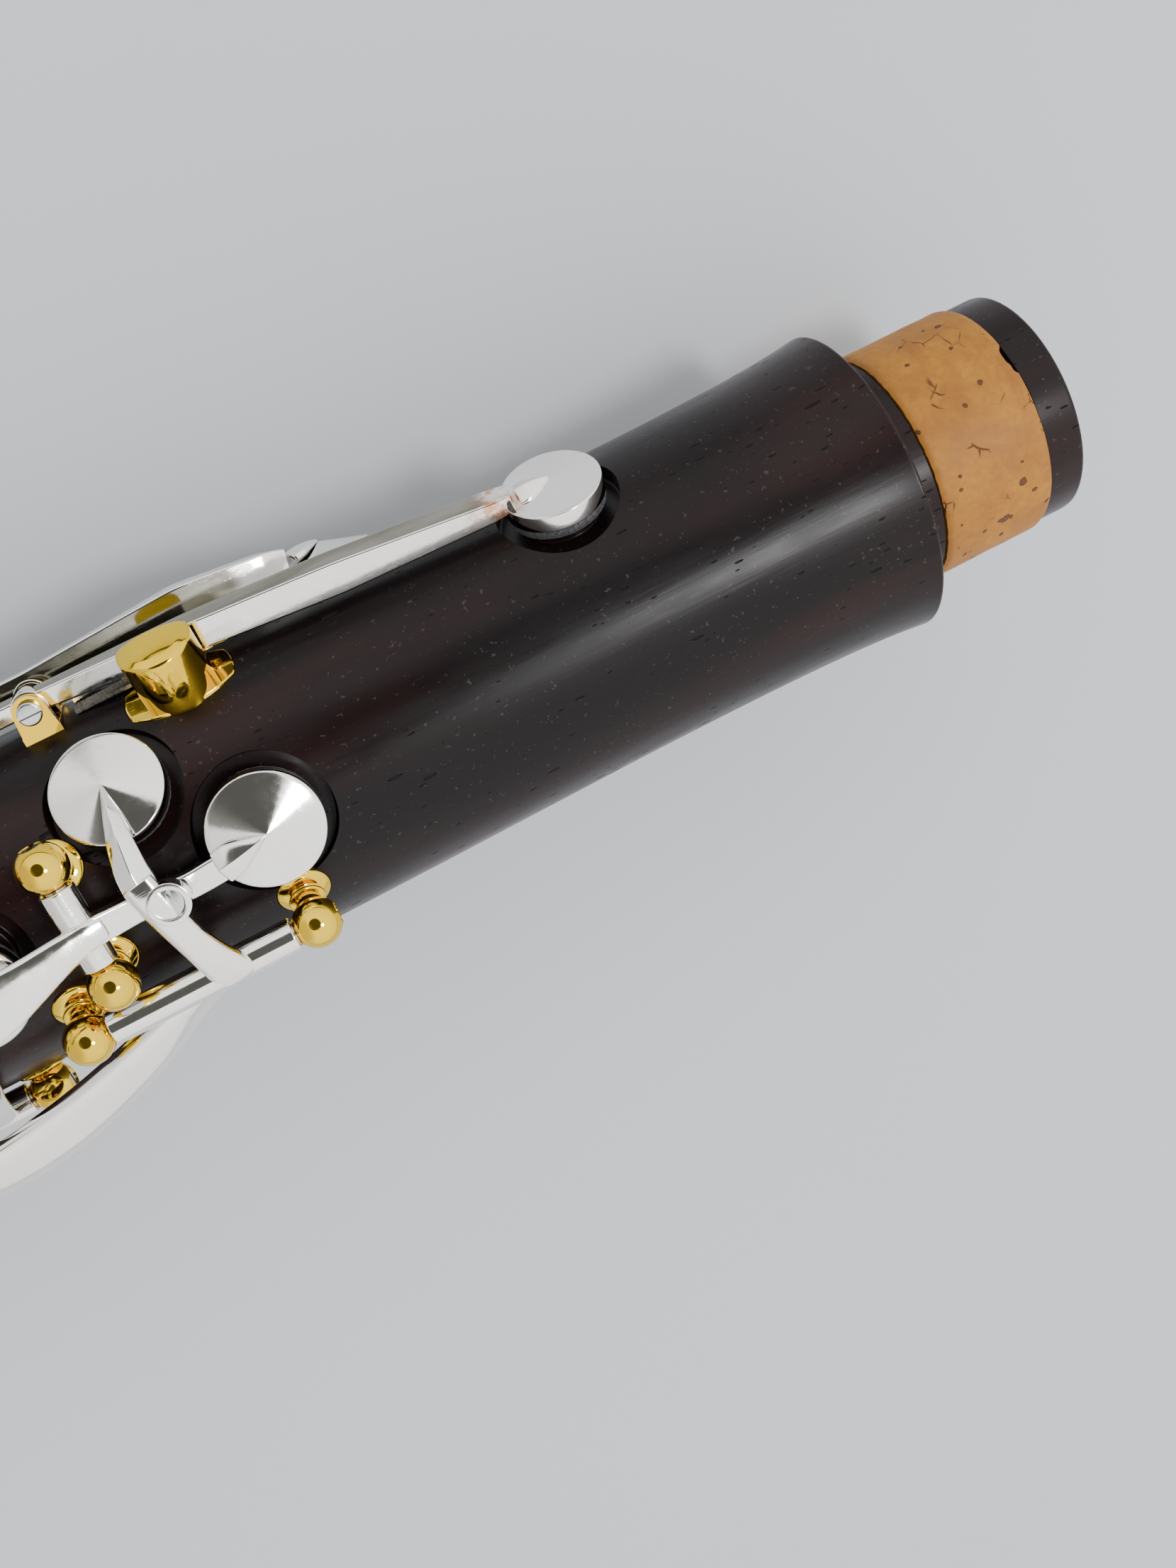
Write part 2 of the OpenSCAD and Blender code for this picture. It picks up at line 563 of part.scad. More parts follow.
module trill_spring_4() flat_spring([130, 70.2], [119.2, 75.4], 15.2);
module trill_spring_3() flat_spring([128, 85.6], [119, 87.8], 15.7);
module side_spring_2() flat_spring([68, 95.8], [55, 92.4], 15.1);
module side_spring_1() flat_spring([60, 109.2], [55, 106.4], 15.2);
module register_spring() flat_spring([152, 180], [142.5, 180], 15.9);

body();
barrel_tenon_cork();
lower_tenon_cork();
register_vent_tube();
thumb_hole_tube();
a_key_posts();
ab_key_posts();
vent_key_posts();
thumb_key_posts();
ring_key_posts();
sliver_key_posts();
cs_key_posts();
trill_saddle();
side_saddle();
register_saddle();
trill_guide();
a_key_rod();
ab_key_rod();
vent_key_rod();
thumb_key_rod();
ring_key_rod();
sliver_key_rod();
cs_key_rod();
trill_screw();
side_screw();
register_screw();
a_key();
ab_key();
ab_adjusting_screw();
vent_key();
thumb_ring_key();
ring_key();
sliver_key();
cs_key();
trill_key_4();
trill_key_3();
side_key_2();
side_key_1();
register_key();
a_pad();
ab_pad();
vent_pad();
ring_key_pad();
sliver_pad();
cs_pad();
trill_pad_4();
trill_pad_3();
side_pad_2();
side_pad_1();
register_pad();
trill_spring_4();
trill_spring_3();
side_spring_2();
side_spring_1();
register_spring();
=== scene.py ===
"""Looks of a Boehm clarinet's upper joint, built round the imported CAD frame.

Lengths in this file are millimetres in the CAD frame until a piece is made: +X runs up the
bore to the barrel, +Z is the front, +Y the side of the trill keys. Places on the body are
given by x, by the angle round the bore (from +Z towards +Y) and by the height above the axis.
"""

import json
import math

import bmesh
import bpy
import numpy as np
from mathutils import Matrix, Vector


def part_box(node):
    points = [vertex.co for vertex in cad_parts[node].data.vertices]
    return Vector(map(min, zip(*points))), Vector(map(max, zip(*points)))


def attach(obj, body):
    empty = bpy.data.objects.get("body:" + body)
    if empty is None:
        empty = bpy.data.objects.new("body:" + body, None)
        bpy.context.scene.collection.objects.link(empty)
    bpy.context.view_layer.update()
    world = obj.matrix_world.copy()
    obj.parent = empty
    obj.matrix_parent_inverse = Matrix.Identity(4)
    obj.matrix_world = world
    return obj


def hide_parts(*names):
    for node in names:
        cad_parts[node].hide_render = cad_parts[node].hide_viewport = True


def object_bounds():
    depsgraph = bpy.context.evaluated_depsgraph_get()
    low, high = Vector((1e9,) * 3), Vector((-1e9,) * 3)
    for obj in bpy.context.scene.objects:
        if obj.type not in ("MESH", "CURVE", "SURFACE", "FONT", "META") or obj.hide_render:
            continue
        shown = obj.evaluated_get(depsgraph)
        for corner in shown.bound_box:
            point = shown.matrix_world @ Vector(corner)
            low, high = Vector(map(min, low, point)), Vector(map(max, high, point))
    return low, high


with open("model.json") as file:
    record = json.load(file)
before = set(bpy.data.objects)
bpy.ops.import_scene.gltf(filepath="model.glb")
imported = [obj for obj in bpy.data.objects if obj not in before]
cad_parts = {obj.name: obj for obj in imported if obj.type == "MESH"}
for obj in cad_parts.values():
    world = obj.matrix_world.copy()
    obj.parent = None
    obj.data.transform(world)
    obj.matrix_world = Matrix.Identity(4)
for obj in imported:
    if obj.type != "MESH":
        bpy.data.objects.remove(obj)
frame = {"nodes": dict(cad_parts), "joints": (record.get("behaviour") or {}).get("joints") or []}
cad_low, cad_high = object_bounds()

MM = 0.001
JOINTS = {j["name"]: j for j in frame["joints"]}

# ---- driving dimensions ----

BODY_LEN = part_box("barrel_tenon_cork")[0].x / MM - 2.72   # upper shoulder
BODY_R, WAIST, FLARE_TOP, FLARE_LOW = 14, 0.28, 0.86, 0.5
BORE_R, TENON_R, GROOVE = 7.4, 10.9, 0.8
LOW_END, TOP_END = cad_low.x / MM, cad_high.x / MM
ROD_R, TUBE_R, BALL_R, FLANGE_R = 1.0, 1.5, 2.15, 2.35
RUN_GAP, SEAT_GAP, TUBE_GAP = 0.05, 0.02, 1.98
POST_SEAT, SADDLE_SEAT, HINGE_H = 13.55, 13.3, 16
RECESS, RECESS_GAP, RIM_WALL = 0.9, 1.1, 1.0
PAD_SHOW, CUP_WALL, CUP_CONE, CUP_METAL = 1.15, 1.65, 1.3, 0.35
POST_TOP = 1.85             # half length of a rod inside a ball

# Vents: x, angle, cup radius, seat height, hole radius
VENTS = {
    "a": (128.5, 0, 4.9, 13, 2.6),
    "ab": (118.8, 32, 4.7, 13, 2.3),
    "vent": (102, 0, 4.7, 12.6, 3),
    "ring_key": (72, 0, 3.2, 13, 1.8),
    "sliver": (58, -92, 3.8, 13, 2.2),
    "cs": (28, -38, 4, 13, 2.4),
    "trill_4": (162.7, 61, 4.5, 13, 2.4),
    "trill_3": (143, 95, 4.3, 13, 2.4),
    "side_2": (85, 102, 3.8, 13, 2.3),
    "side_1": (66, 117, 3.8, 13, 2.3),
    "register": (165, 180, 3.6, 14.9, 1.5),
}
# Finger holes on the front: x, hole radius, chimney radius, chimney top
CHIMNEYS = ((83, 3.6, 4.4, 15.3), (61, 3.6, 4.4, 15.3), (39, 3.9, 5.2, 15.1))
THUMB_HOLE = (94, 3.4, 4.4, 15.3)
GUIDE = (127.1, 61, 3.25)
GUIDE_FOOT, GUIDE_TOP, GUIDE_FLAT = 13.4, 14.05, 0.75   # barrel's foot, plate's top, cut-off side
# Saddles: x, angle, half width, inner edge of the outer ears, half width of a middle ear
SADDLES = {"trill": (115.2, 83, 3.7, 2.9, 0.6), "side": (51, 98, 3.7, 2.9, 0.6),
           "register": (139, 180, 2.3, 1.3, 0)}
SADDLE_REACH, SADDLE_T = 1.7, 0.9
LANE, LUG_W, SCREW_R, HEAD_R, EAR_R = 1.75, 2.1, 0.8, 1.05, 1.45


def profile_r(x):
    """Radius of the wood's outside at x."""
    u = BODY_LEN - x
    return (BODY_R - WAIST * math.exp(-(((u - 25) / 22) ** 2))
            + FLARE_TOP * math.exp(-u / 6) + FLARE_LOW * math.exp(-x / 8))


# ---- frames ----

def on_body(x, angle):
    """Matrix of a place on the body: local +Z points out, +X up the bore, +Y round."""
    return Matrix.Translation((x, 0, 0)) @ Matrix.Rotation(math.radians(-angle), 4, "X")


def at(x, angle, height):
    return on_body(x, angle) @ Vector((0, 0, height))


def out(angle):
    a = math.radians(angle)
    return Vector((0, math.sin(a), math.cos(a)))


def aimed(origin, direction):
    """Matrix whose local +Z runs along direction."""
    turn = Vector(direction).to_track_quat("Z", "Y").to_matrix().to_4x4()
    return Matrix.Translation(origin) @ turn


def turned(joint, degrees):
    """Matrix that turns a key about its hinge by that angle round +X."""
    pivot = Vector(JOINTS[joint]["pos_m"]) / MM
    turn = Matrix.Rotation(math.radians(degrees), 4, "X")
    return Matrix.Translation(pivot) @ turn @ Matrix.Translation(-pivot)


# ---- shells: (points, faces), closed surfaces in millimetres ----

def fillet(points, radius, steps=3, closed=True):
    """Rounds the corners of a flat outline. radius is one value, or one per corner."""
    made = []
    count = len(points)
    for i, p in enumerate(points):
        p = np.array(p, float)
        r = radius[i] if isinstance(radius, (list, tuple)) else radius
        if r <= 0 or (not closed and i in (0, count - 1)):
            made.append(tuple(p))
            continue
        before = np.array(points[i - 1], float) - p
        after = np.array(points[(i + 1) % count], float) - p
        reach_a = min(r, 0.45 * np.linalg.norm(before))
        reach_b = min(r, 0.45 * np.linalg.norm(after))
        a = p + before / np.linalg.norm(before) * reach_a
        b = p + after / np.linalg.norm(after) * reach_b
        for k in range(steps + 1):
            t = k / steps
            made.append(tuple(a * (1 - t) ** 2 + 2 * p * t * (1 - t) + b * t * t))
    return made


def lathe(profile, place, segments=64, closed=False):
    """Revolves (radius, height) points round local +Z. An open profile starts and ends
    on the axis; a closed one is the section of a ring."""
    points, rows = [], []
    for r, h in profile:
        if r < 1e-6:
            rows.append([len(points)])
            points.append(Vector((0, 0, h)))
            continue
        rows.append(list(range(len(points), len(points) + segments)))
        for k in range(segments):
            a = math.tau * k / segments
            points.append(Vector((r * math.cos(a), r * math.sin(a), h)))
    faces = []
    pairs = list(zip(rows, rows[1:])) + ([(rows[-1], rows[0])] if closed else [])
    for low, high in pairs:
        for k in range(segments):
            n = (k + 1) % segments
            if len(low) == 1 and len(high) == 1:
                break
            if len(low) == 1:
                faces.append((low[0], high[k], high[n]))
            elif len(high) == 1:
                faces.append((low[k], high[0], low[n]))
            else:
                faces.append((low[k], low[n], high[n], high[k]))
    return [place @ p for p in points], faces


def smooth_between(stations, samples, window=0.8):
    """Runs straight lines through rows of numbers, with corners rounded over a window."""
    rows = np.array(stations, float)
    s = np.concatenate([[0], np.cumsum(np.linalg.norm(np.diff(rows[:, :3], axis=0), axis=1))])
    t = samples * s[-1]
    reach = np.minimum(window, np.minimum(t, s[-1] - t))
    shares = np.linspace(-1, 1, 15)
    total = 0
    for share in shares:
        total = total + np.stack([np.interp(t + share * reach, s, row) for row in rows.T], 1)
    return total / len(shares), s[-1]


# How far to each side of a corner a bar of each kind rounds it off
WINDOWS = {"bar": 0.7, "roof": 0.5, "soft": 2.6}


def section(kind, w, t):
    """Outline of a bar's cross-section, width w by thickness t, round its middle."""
    if kind == "bar":        # flat faces with small round edges
        flat = [(-w / 2, -t / 2), (w / 2, -t / 2), (w / 2, t / 2), (-w / 2, t / 2)]
        return fillet(flat, min(0.24, 0.4 * w, 0.4 * t), 4)
    if kind == "roof":       # a ridge along the top
        ridge = [(-w / 2, -t / 2), (w / 2, -t / 2), (w / 2, -t * 0.05), (0, t / 2),
                 (-w / 2, -t * 0.05)]
        return fillet(ridge, [0.1, 0.1, 0.12, 0.1, 0.12], 3)
    soft = []                # "soft": a rounded, slightly crowned plate
    for k in range(28):
        a = math.tau * k / 28
        c, s = math.cos(a), math.sin(a)
        soft.append((w / 2 * math.copysign(abs(c) ** 0.62, c),
                     t / 2 * math.copysign(abs(s) ** 0.72, s)))
    return soft


def sweep(stations, kind="bar", nose=(0.25, 0.25), spacing=0.5):
    """A bar through stations of (centre, up, width, thickness). nose gives the length
    over which each end's outline closes round in plan."""
    rows = [list(c) + list(u) + [w, t] for c, u, w, t in stations]
    window = WINDOWS[kind]
    length = smooth_between(rows, np.array([0.0, 1.0]))[1]
    ends = []
    for reach in nose:
        steps = np.sin(np.linspace(0, math.pi / 2, 9)[:-1]) if reach < 0.5 else \
            1 - np.cos(np.linspace(0, math.pi / 2, 13)[:-1])
        ends.append(steps * reach)
    middle = np.linspace(nose[0], length - nose[1], max(3, int(length / spacing)))
    along = np.concatenate([ends[0], middle, (length - ends[1])[::-1]])
    values, _ = smooth_between(rows, along / length, window)
    tangent = np.gradient(values[:, :3], along, axis=0)
    points, faces, previous = [], [], None
    for k, v in enumerate(values):
        centre, up, width, thick = Vector(v[:3]), Vector(v[3:6]), v[6], v[7]
        forward = Vector(tangent[k]).normalized()
        side = forward.cross(up).normalized()
        up = side.cross(forward)
        for distance, reach in ((along[k], nose[0]), (length - along[k], nose[1])):
            close = max(0, 1 - distance / reach) if reach > 0 else 0
            width *= max(0.03, math.sqrt(max(0, 1 - close**2)))
            flat = min(reach, thick * 0.45)
            close = max(0, 1 - distance / flat) if flat > 0 else 0
            thick *= max(0.06, math.sqrt(max(0, 1 - close**2)))
        ring = [centre - side * a + up * b for a, b in section(kind, width, thick)]
        start = len(points)
        points += ring
        count = len(ring)
        if previous is not None:
            faces += [(previous + i, previous + (i + 1) % count, start + (i + 1) % count, start + i)
                      for i in range(count)]
        else:
            faces.append(tuple(range(count - 1, -1, -1)))
        previous = start
    faces.append(tuple(range(previous, previous + count)))
    return points, faces


def body_sweep(stations, kind="bar", **options):
    """A sweep through CAD stations: x, angle, lower height, upper height, width."""
    return sweep([(at(x, angle, (low + high) / 2), out(angle), width, high - low)
                  for x, angle, low, high, width in stations], kind, **options)


def collar(start, direction, r_out, r_in, length, edge=0.18):
    """A tube with rounded ends."""
    ring = [(r_in, 0), (r_out, 0), (r_out, length), (r_in, length)]
    return lathe(fillet(ring, [0.05, edge, edge, 0.05], 4), aimed(start, direction), 72, True)


def moved(shell, matrix):
    return [matrix @ p for p in shell[0]], shell[1]


# ---- pieces ----

def make_mesh(name, shells):
    """One object, in metres, from closed shells in millimetres."""
    points, faces = [], []
    for shell_points, shell_faces in shells:
        base = len(points)
        points += [p * MM for p in shell_points]
        faces += [tuple(base + i for i in f) for f in shell_faces]
    mesh = bpy.data.meshes.new(name)
    mesh.from_pydata(points, [], faces)
    build = bmesh.new()
    build.from_mesh(mesh)
    bmesh.ops.remove_doubles(build, verts=build.verts, dist=1e-8)
    bmesh.ops.recalc_face_normals(build, faces=build.faces)
    build.to_mesh(mesh)
    build.free()
    made = bpy.data.objects.new(name, mesh)
    bpy.context.scene.collection.objects.link(made)
    return made


def apply_modifiers(made):
    depsgraph = bpy.context.evaluated_depsgraph_get()
    mesh = bpy.data.meshes.new_from_object(made.evaluated_get(depsgraph))
    made.modifiers.clear()
    made.data = mesh


def carve(made, shells, operation="DIFFERENCE"):
    """Cuts closed shells out of a piece, one after another, or adds them to it."""
    for k, shell in enumerate(shells):
        tool = make_mesh(f"tool_{k}", [shell])
        change = made.modifiers.new("carve", "BOOLEAN")
        change.operation, change.solver, change.object = operation, "MANIFOLD", tool
        apply_modifiers(made)
        bpy.data.objects.remove(tool)
    return made


def finish_piece(made, material, body, nodes=(), sharp=32):
    """Shading, material, and what the piece rides on and stands for."""
    made.data.polygons.foreach_set("use_smooth", [True] * len(made.data.polygons))
    made.data.set_sharp_from_angle(angle=math.radians(sharp))
    weighted = made.modifiers.new("weighted", "WEIGHTED_NORMAL")
    weighted.keep_sharp = True
    made.data.materials.clear()
    made.data.materials.append(material)
    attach(made, body)
    if nodes:
        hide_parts(*nodes)
    return made


# ---- materials ----

class Nodes:
    """Small helper that builds a node material."""

    def __init__(self, name):
        self.material = bpy.data.materials.new(name)
        self.material.use_nodes = True
        self.tree = self.material.node_tree
        self.shader = self.tree.nodes["Principled BSDF"]
        place = self.tree.nodes.new("ShaderNodeTexCoord")
        self.where = place.outputs["Object"]

    def add(self, kind, settings=None, **inputs):
        node = self.tree.nodes.new("ShaderNode" + kind)
        for key, value in (settings or {}).items():
            setattr(node, key, value)
        for key, value in inputs.items():
            self.put(node.inputs[int(key[1:]) if key[0] == "i" and key[1:].isdigit()
                                 else key.replace("_", " ")], value)
        return node

    def put(self, socket, value):
        if isinstance(value, bpy.types.NodeSocket):
            self.tree.links.new(value, socket)
        else:
            socket.default_value = value

    def stretch(self, scale):
        return self.add("Mapping", Vector=self.where, Scale=scale).outputs[0]

    def noise(self, vector, scale, detail=3.0, roughness=0.5, distortion=0.0):
        return self.add("TexNoise", Vector=vector, Scale=scale, Detail=detail,
                        Roughness=roughness, Distortion=distortion).outputs[0]

    def cells(self, vector, scale, feature="F1", randomness=1.0):
        return self.add("TexVoronoi", {"feature": feature}, Vector=vector, Scale=scale,
                        Randomness=randomness)

    def vector(self, operation, a, b):
        return self.add("VectorMath", {"operation": operation}, i0=a, i1=b).outputs

    def warped(self, scale, detail, amount):
        """The object's coordinates, pushed about by noise."""
        drift = self.add("TexNoise", Vector=self.where, Scale=scale, Detail=detail)
        push = self.add("VectorMath", {"operation": "SCALE"}, i0=drift.outputs["Color"],
                        Scale=amount)
        return self.vector("ADD", self.where, push.outputs[0])[0]

    def facing(self, vector, direction):
        """Cosine of the angle between a vector and a fixed direction."""
        return self.vector("DOT_PRODUCT", vector, direction)["Value"]

    def either(self, a, b):
        return b if a is None else self.maths("MAXIMUM", a, b)

    def fade(self, value, low, high, to_low=0.0, to_high=1.0):
        node = self.add("MapRange", {"interpolation_type": "SMOOTHSTEP"}, Value=value)
        for key, number in (("From Min", low), ("From Max", high), ("To Min", to_low),
                            ("To Max", to_high)):
            self.put(node.inputs[key], number)
        return node.outputs[0]

    def maths(self, operation, a, b=0.0, c=None):
        node = self.add("Math", {"operation": operation}, i0=a, i1=b)
        if c is not None:
            self.put(node.inputs[2], c)
        return node.outputs[0]

    def mix(self, factor, a, b, blend="MIX"):
        node = self.add("Mix", {"data_type": "RGBA", "blend_type": blend}, Factor=factor)
        self.put(node.inputs[6], a)
        self.put(node.inputs[7], b)
        return node.outputs[2]

    def bump(self, height, strength, distance, normal=None):
        node = self.add("Bump", Height=height, Strength=strength, Distance=distance)
        if normal is not None:
            self.put(node.inputs["Normal"], normal)
        return node.outputs[0]

    def set(self, **inputs):
        for key, value in inputs.items():
            self.put(self.shader.inputs[key.replace("_", " ")], value)
        return self.material


def grenadilla():
    """Near-black wood with red-brown streaks and open pores that run along the bore."""
    n = Nodes("grenadilla")
    streak = n.noise(n.stretch((0.12, 1, 1)), 260, 4, 0.6, 0.6)
    broad = n.noise(n.stretch((0.3, 1, 1)), 55, 3, 0.5, 0.8)
    fine = n.noise(n.stretch((0.05, 1, 1)), 2600, 2, 0.6)
    red = n.maths("MULTIPLY", n.fade(broad, 0.44, 0.66), n.fade(streak, 0.3, 0.75, 0.35, 1))
    base = n.mix(red, (0.0042, 0.0030, 0.0036, 1), (0.0175, 0.0052, 0.0050, 1))
    base = n.mix(n.fade(fine, 0.35, 0.7, 0, 0.4), base, (0.0085, 0.0042, 0.0040, 1))
    where = n.warped(180, 1, 0.00045)
    crowd = n.fade(n.noise(n.stretch((0.35, 1, 1)), 120, 2), 0.38, 0.62, 0.35, 1)
    pores = None
    for scale, length, reach in ((950, 0.22, 0.16), (1500, 0.26, 0.15)):
        cells = n.cells(n.add("Mapping", Vector=where, Scale=(length, 1, 1)).outputs[0], scale)
        keep = n.fade(cells.outputs["Color"], 0.25, 0.6, 0.15, 1)
        size = n.maths("MULTIPLY", n.maths("MULTIPLY", keep, crowd), reach)
        edge = n.maths("SUBTRACT", size, cells.outputs["Distance"])
        pores = n.either(pores, n.fade(edge, -0.015, 0.02))
    base = n.mix(pores, base, (0.0015, 0.001, 0.001, 1))
    dust = n.fade(n.noise(n.where, 1900, 2, 0.7), 0.655, 0.70, 0, 0.5)
    base = n.mix(n.maths("MULTIPLY", dust, n.maths("SUBTRACT", 1.0, pores)), base,
                 (0.06, 0.052, 0.048, 1))
    rough = n.fade(n.noise(n.stretch((0.2, 1, 1)), 420, 3), 0.3, 0.7, 0.26, 0.36)
    rough = n.maths("ADD", rough, n.maths("MULTIPLY", pores, 0.35))
    normal = n.bump(n.maths("SUBTRACT", 1.0, pores), 1.0, 0.0003)
    normal = n.bump(fine, 0.25, 0.00003, normal)
    return n.set(Base_Color=base, Roughness=rough, Normal=normal, Specular_IOR_Level=0.19)


def natural_cork():
    """Golden sheet cork: mottled, with dark lenticels that have a paler heart."""
    n = Nodes("natural_cork")
    mottle = n.noise(n.where, 210, 5, 0.62, 0.5)
    grain = n.noise(n.where, 1500, 3, 0.6)
    base = n.mix(n.fade(mottle, 0.33, 0.68), (0.30, 0.112, 0.009, 1), (0.42, 0.18, 0.020, 1))
    base = n.mix(n.fade(grain, 0.3, 0.75, 0, 0.45), base, (0.25, 0.085, 0.006, 1))
    flame = n.fade(n.noise(n.stretch((1, 0.35, 0.35)), 160, 3, 0.5, 1.2), 0.56, 0.66)
    base = n.mix(n.maths("MULTIPLY", flame, 0.35), base, (0.22, 0.068, 0.006, 1))
    where = n.warped(700, 2, 0.0007)
    spots, hearts = None, None
    for scale, reach, share in ((330, 0.19, 0.50), (620, 0.19, 0.42)):
        cells = n.cells(where, scale)
        keep = n.fade(cells.outputs["Color"], share, share + 0.25)
        size = n.maths("MULTIPLY", keep, reach)
        edge = n.maths("SUBTRACT", size, cells.outputs["Distance"])
        spots = n.either(spots, n.fade(edge, 0.0, 0.035))
        hearts = n.either(hearts, n.fade(edge, 0.07, 0.13))
    base = n.mix(n.maths("MULTIPLY", spots, 0.88), base, (0.055, 0.012, 0.004, 1))
    base = n.mix(n.maths("MULTIPLY", hearts, 0.55), base, (0.14, 0.045, 0.018, 1))
    crack = n.cells(where, 520, "DISTANCE_TO_EDGE").outputs["Distance"]
    worn = n.maths("MULTIPLY", n.fade(crack, 0.05, 0.0),
                   n.fade(n.noise(n.where, 260, 2), 0.60, 0.68))
    base = n.mix(worn, base, (0.075, 0.022, 0.006, 1))
    height = n.maths("SUBTRACT", n.maths("MULTIPLY", grain, 0.25), spots)
    height = n.maths("ADD", height, n.maths("MULTIPLY", hearts, 0.6))
    height = n.maths("SUBTRACT", height, worn)
    return n.set(Base_Color=base, Roughness=n.fade(mottle, 0.3, 0.7, 0.55, 0.72),
                 Normal=n.bump(height, 0.75, 0.00016), Specular_IOR_Level=0.4)


def plated(name, bright, shade, rough, stain=None, painted_reflection_faces=None):
    """Polished plate: faint swirls in its gloss, hairline scratches and a slow tint.
    stain is the place of a solder stain; the last argument is an angle round the bore and an x:
    faces that look that way below that x are painted dark olive, a painted reflection."""
    n = Nodes(name)
    cloud = n.noise(n.where, 140, 3, 0.6)
    base = n.mix(n.fade(cloud, 0.35, 0.72, 0, 0.8), bright, shade)
    if stain is not None:
        # a solder stain where an arm meets its cup
        near = n.fade(n.vector("DISTANCE", n.where, stain * MM)["Value"], 0.0034, 0.0012)
        patch = n.fade(n.noise(n.where, 1100, 4, 0.65), 0.42, 0.62)
        base = n.mix(n.maths("MULTIPLY", near, patch), base, (0.72, 0.36, 0.20, 1))
    # Painted reflection: faces turned towards the given angle, below the given x, are painted dark
    # olive in streaks, standing in for the dark surroundings they would mirror.
    if painted_reflection_faces is not None:
        angle, end = painted_reflection_faces
        normal = n.add("NewGeometry").outputs["Normal"]
        faces = n.fade(n.facing(normal, out(angle)), 0.965, 0.985)
        along = n.fade(n.add("SeparateXYZ", Vector=n.where).outputs["X"], end * MM,
                       (end - 1.5) * MM)
        reflection_streaks = n.fade(n.noise(n.stretch((0.15, 1, 1)), 600, 4, 0.6), 0.25, 0.7, 0.8, 1)
        base = n.mix(n.maths("MULTIPLY", n.maths("MULTIPLY", faces, along), reflection_streaks), base,
                     (0.215, 0.205, 0.155, 1))
    swirl = n.noise(n.where, 900, 4, 0.7)
    scratch = n.noise(n.add("Mapping", Vector=n.where, Rotation=(0.4, 0.9, 0.3),
                            Scale=(0.04, 1, 1)).outputs[0], 9000, 2, 0.5)
    gloss = n.fade(swirl, 0.3, 0.75, rough * 0.75, rough * 1.5)
    normal = n.bump(n.fade(scratch, 0.62, 0.75), 0.10, 0.000012)
    wave = n.bump(n.noise(n.where, 330, 2, 0.5), 0.16, 0.00006, normal)
    return n.set(Base_Color=base, Roughness=gloss, Normal=wave, Metallic=1.0)


def leather():
    """Black pad skin, finely wrinkled, a little dusty."""
    n = Nodes("pad_leather")
    crease = n.cells(n.where, 1700, "DISTANCE_TO_EDGE").outputs["Distance"]
    fold = n.noise(n.stretch((1, 1, 0.5)), 1200, 4, 0.6, 0.4)
    lines = n.fade(crease, 0.0, 0.12)
    base = n.mix(lines, (0.008, 0.008, 0.009, 1), (0.026, 0.027, 0.030, 1))
    base = n.mix(n.fade(fold, 0.58, 0.72, 0, 0.5), base, (0.07, 0.075, 0.08, 1))
    height = n.maths("ADD", n.maths("MULTIPLY", lines, 0.5), fold)
    return n.set(Base_Color=base, Roughness=n.fade(fold, 0.3, 0.7, 0.42, 0.62),
                 Normal=n.bump(height, 0.6, 0.0001), Sheen_Weight=0.15)


def turned_steel(name, tint, rough):
    """Turned steel: fine rings from the lathe and a faint straw tint."""
    n = Nodes(name)
    rings = n.noise(n.stretch((1, 0.12, 0.12)), 7000, 2, 0.5)
    base = n.mix(n.fade(n.noise(n.where, 300, 3), 0.35, 0.7), tint,
                 tuple(c * 0.82 for c in tint[:3]) + (1,))
    return n.set(Base_Color=base, Roughness=n.fade(rings, 0.3, 0.7, rough * 0.8, rough * 1.3),
                 Normal=n.bump(rings, 0.2, 0.00001), Metallic=1.0, Anisotropic=0.3)


def paper():
    """The pale seamless ground."""
    n = Nodes("pale_ground")
    tone = n.fade(n.noise(n.where, 6, 3), 0.3, 0.7)
    base = n.mix(tone, (0.535, 0.55, 0.58, 1), (0.56, 0.575, 0.605, 1))
    fibre = n.noise(n.where, 2200, 3, 0.6)
    return n.set(Base_Color=base, Roughness=0.75, Normal=n.bump(fibre, 0.06, 0.00005))


SILVER_TONE = (0.93, 0.915, 0.885, 1), (0.90, 0.875, 0.83, 1)
WOOD = grenadilla()
CORK = natural_cork()
SILVER = plated("silver_plate", *SILVER_TONE, 0.085)
# Both trill-key plates paint a dark olive reflection on faces turned one way, below a given x; the
# first also has a real solder stain where its arm meets the cup.
SILVER_STAINED_PAINTED_REFLECTION = plated("silver_plate_stained_painted_reflection", *SILVER_TONE, 0.085, at(157.4, 61, 16), (68, 157.5))
SILVER_PAINTED_REFLECTION = plated("silver_plate_painted_reflection", *SILVER_TONE, 0.085, None, (-4, 136))
GOLD = plated("gold_plate", (0.88, 0.60, 0.05, 1), (0.80, 0.49, 0.03, 1), 0.05)
LEATHER = leather()
STEEL = turned_steel("turned_steel", (0.66, 0.66, 0.65, 1), 0.2)
SPRING = turned_steel("spring_steel", (0.60, 0.58, 0.55, 1), 0.24)


# ---- the wood ----

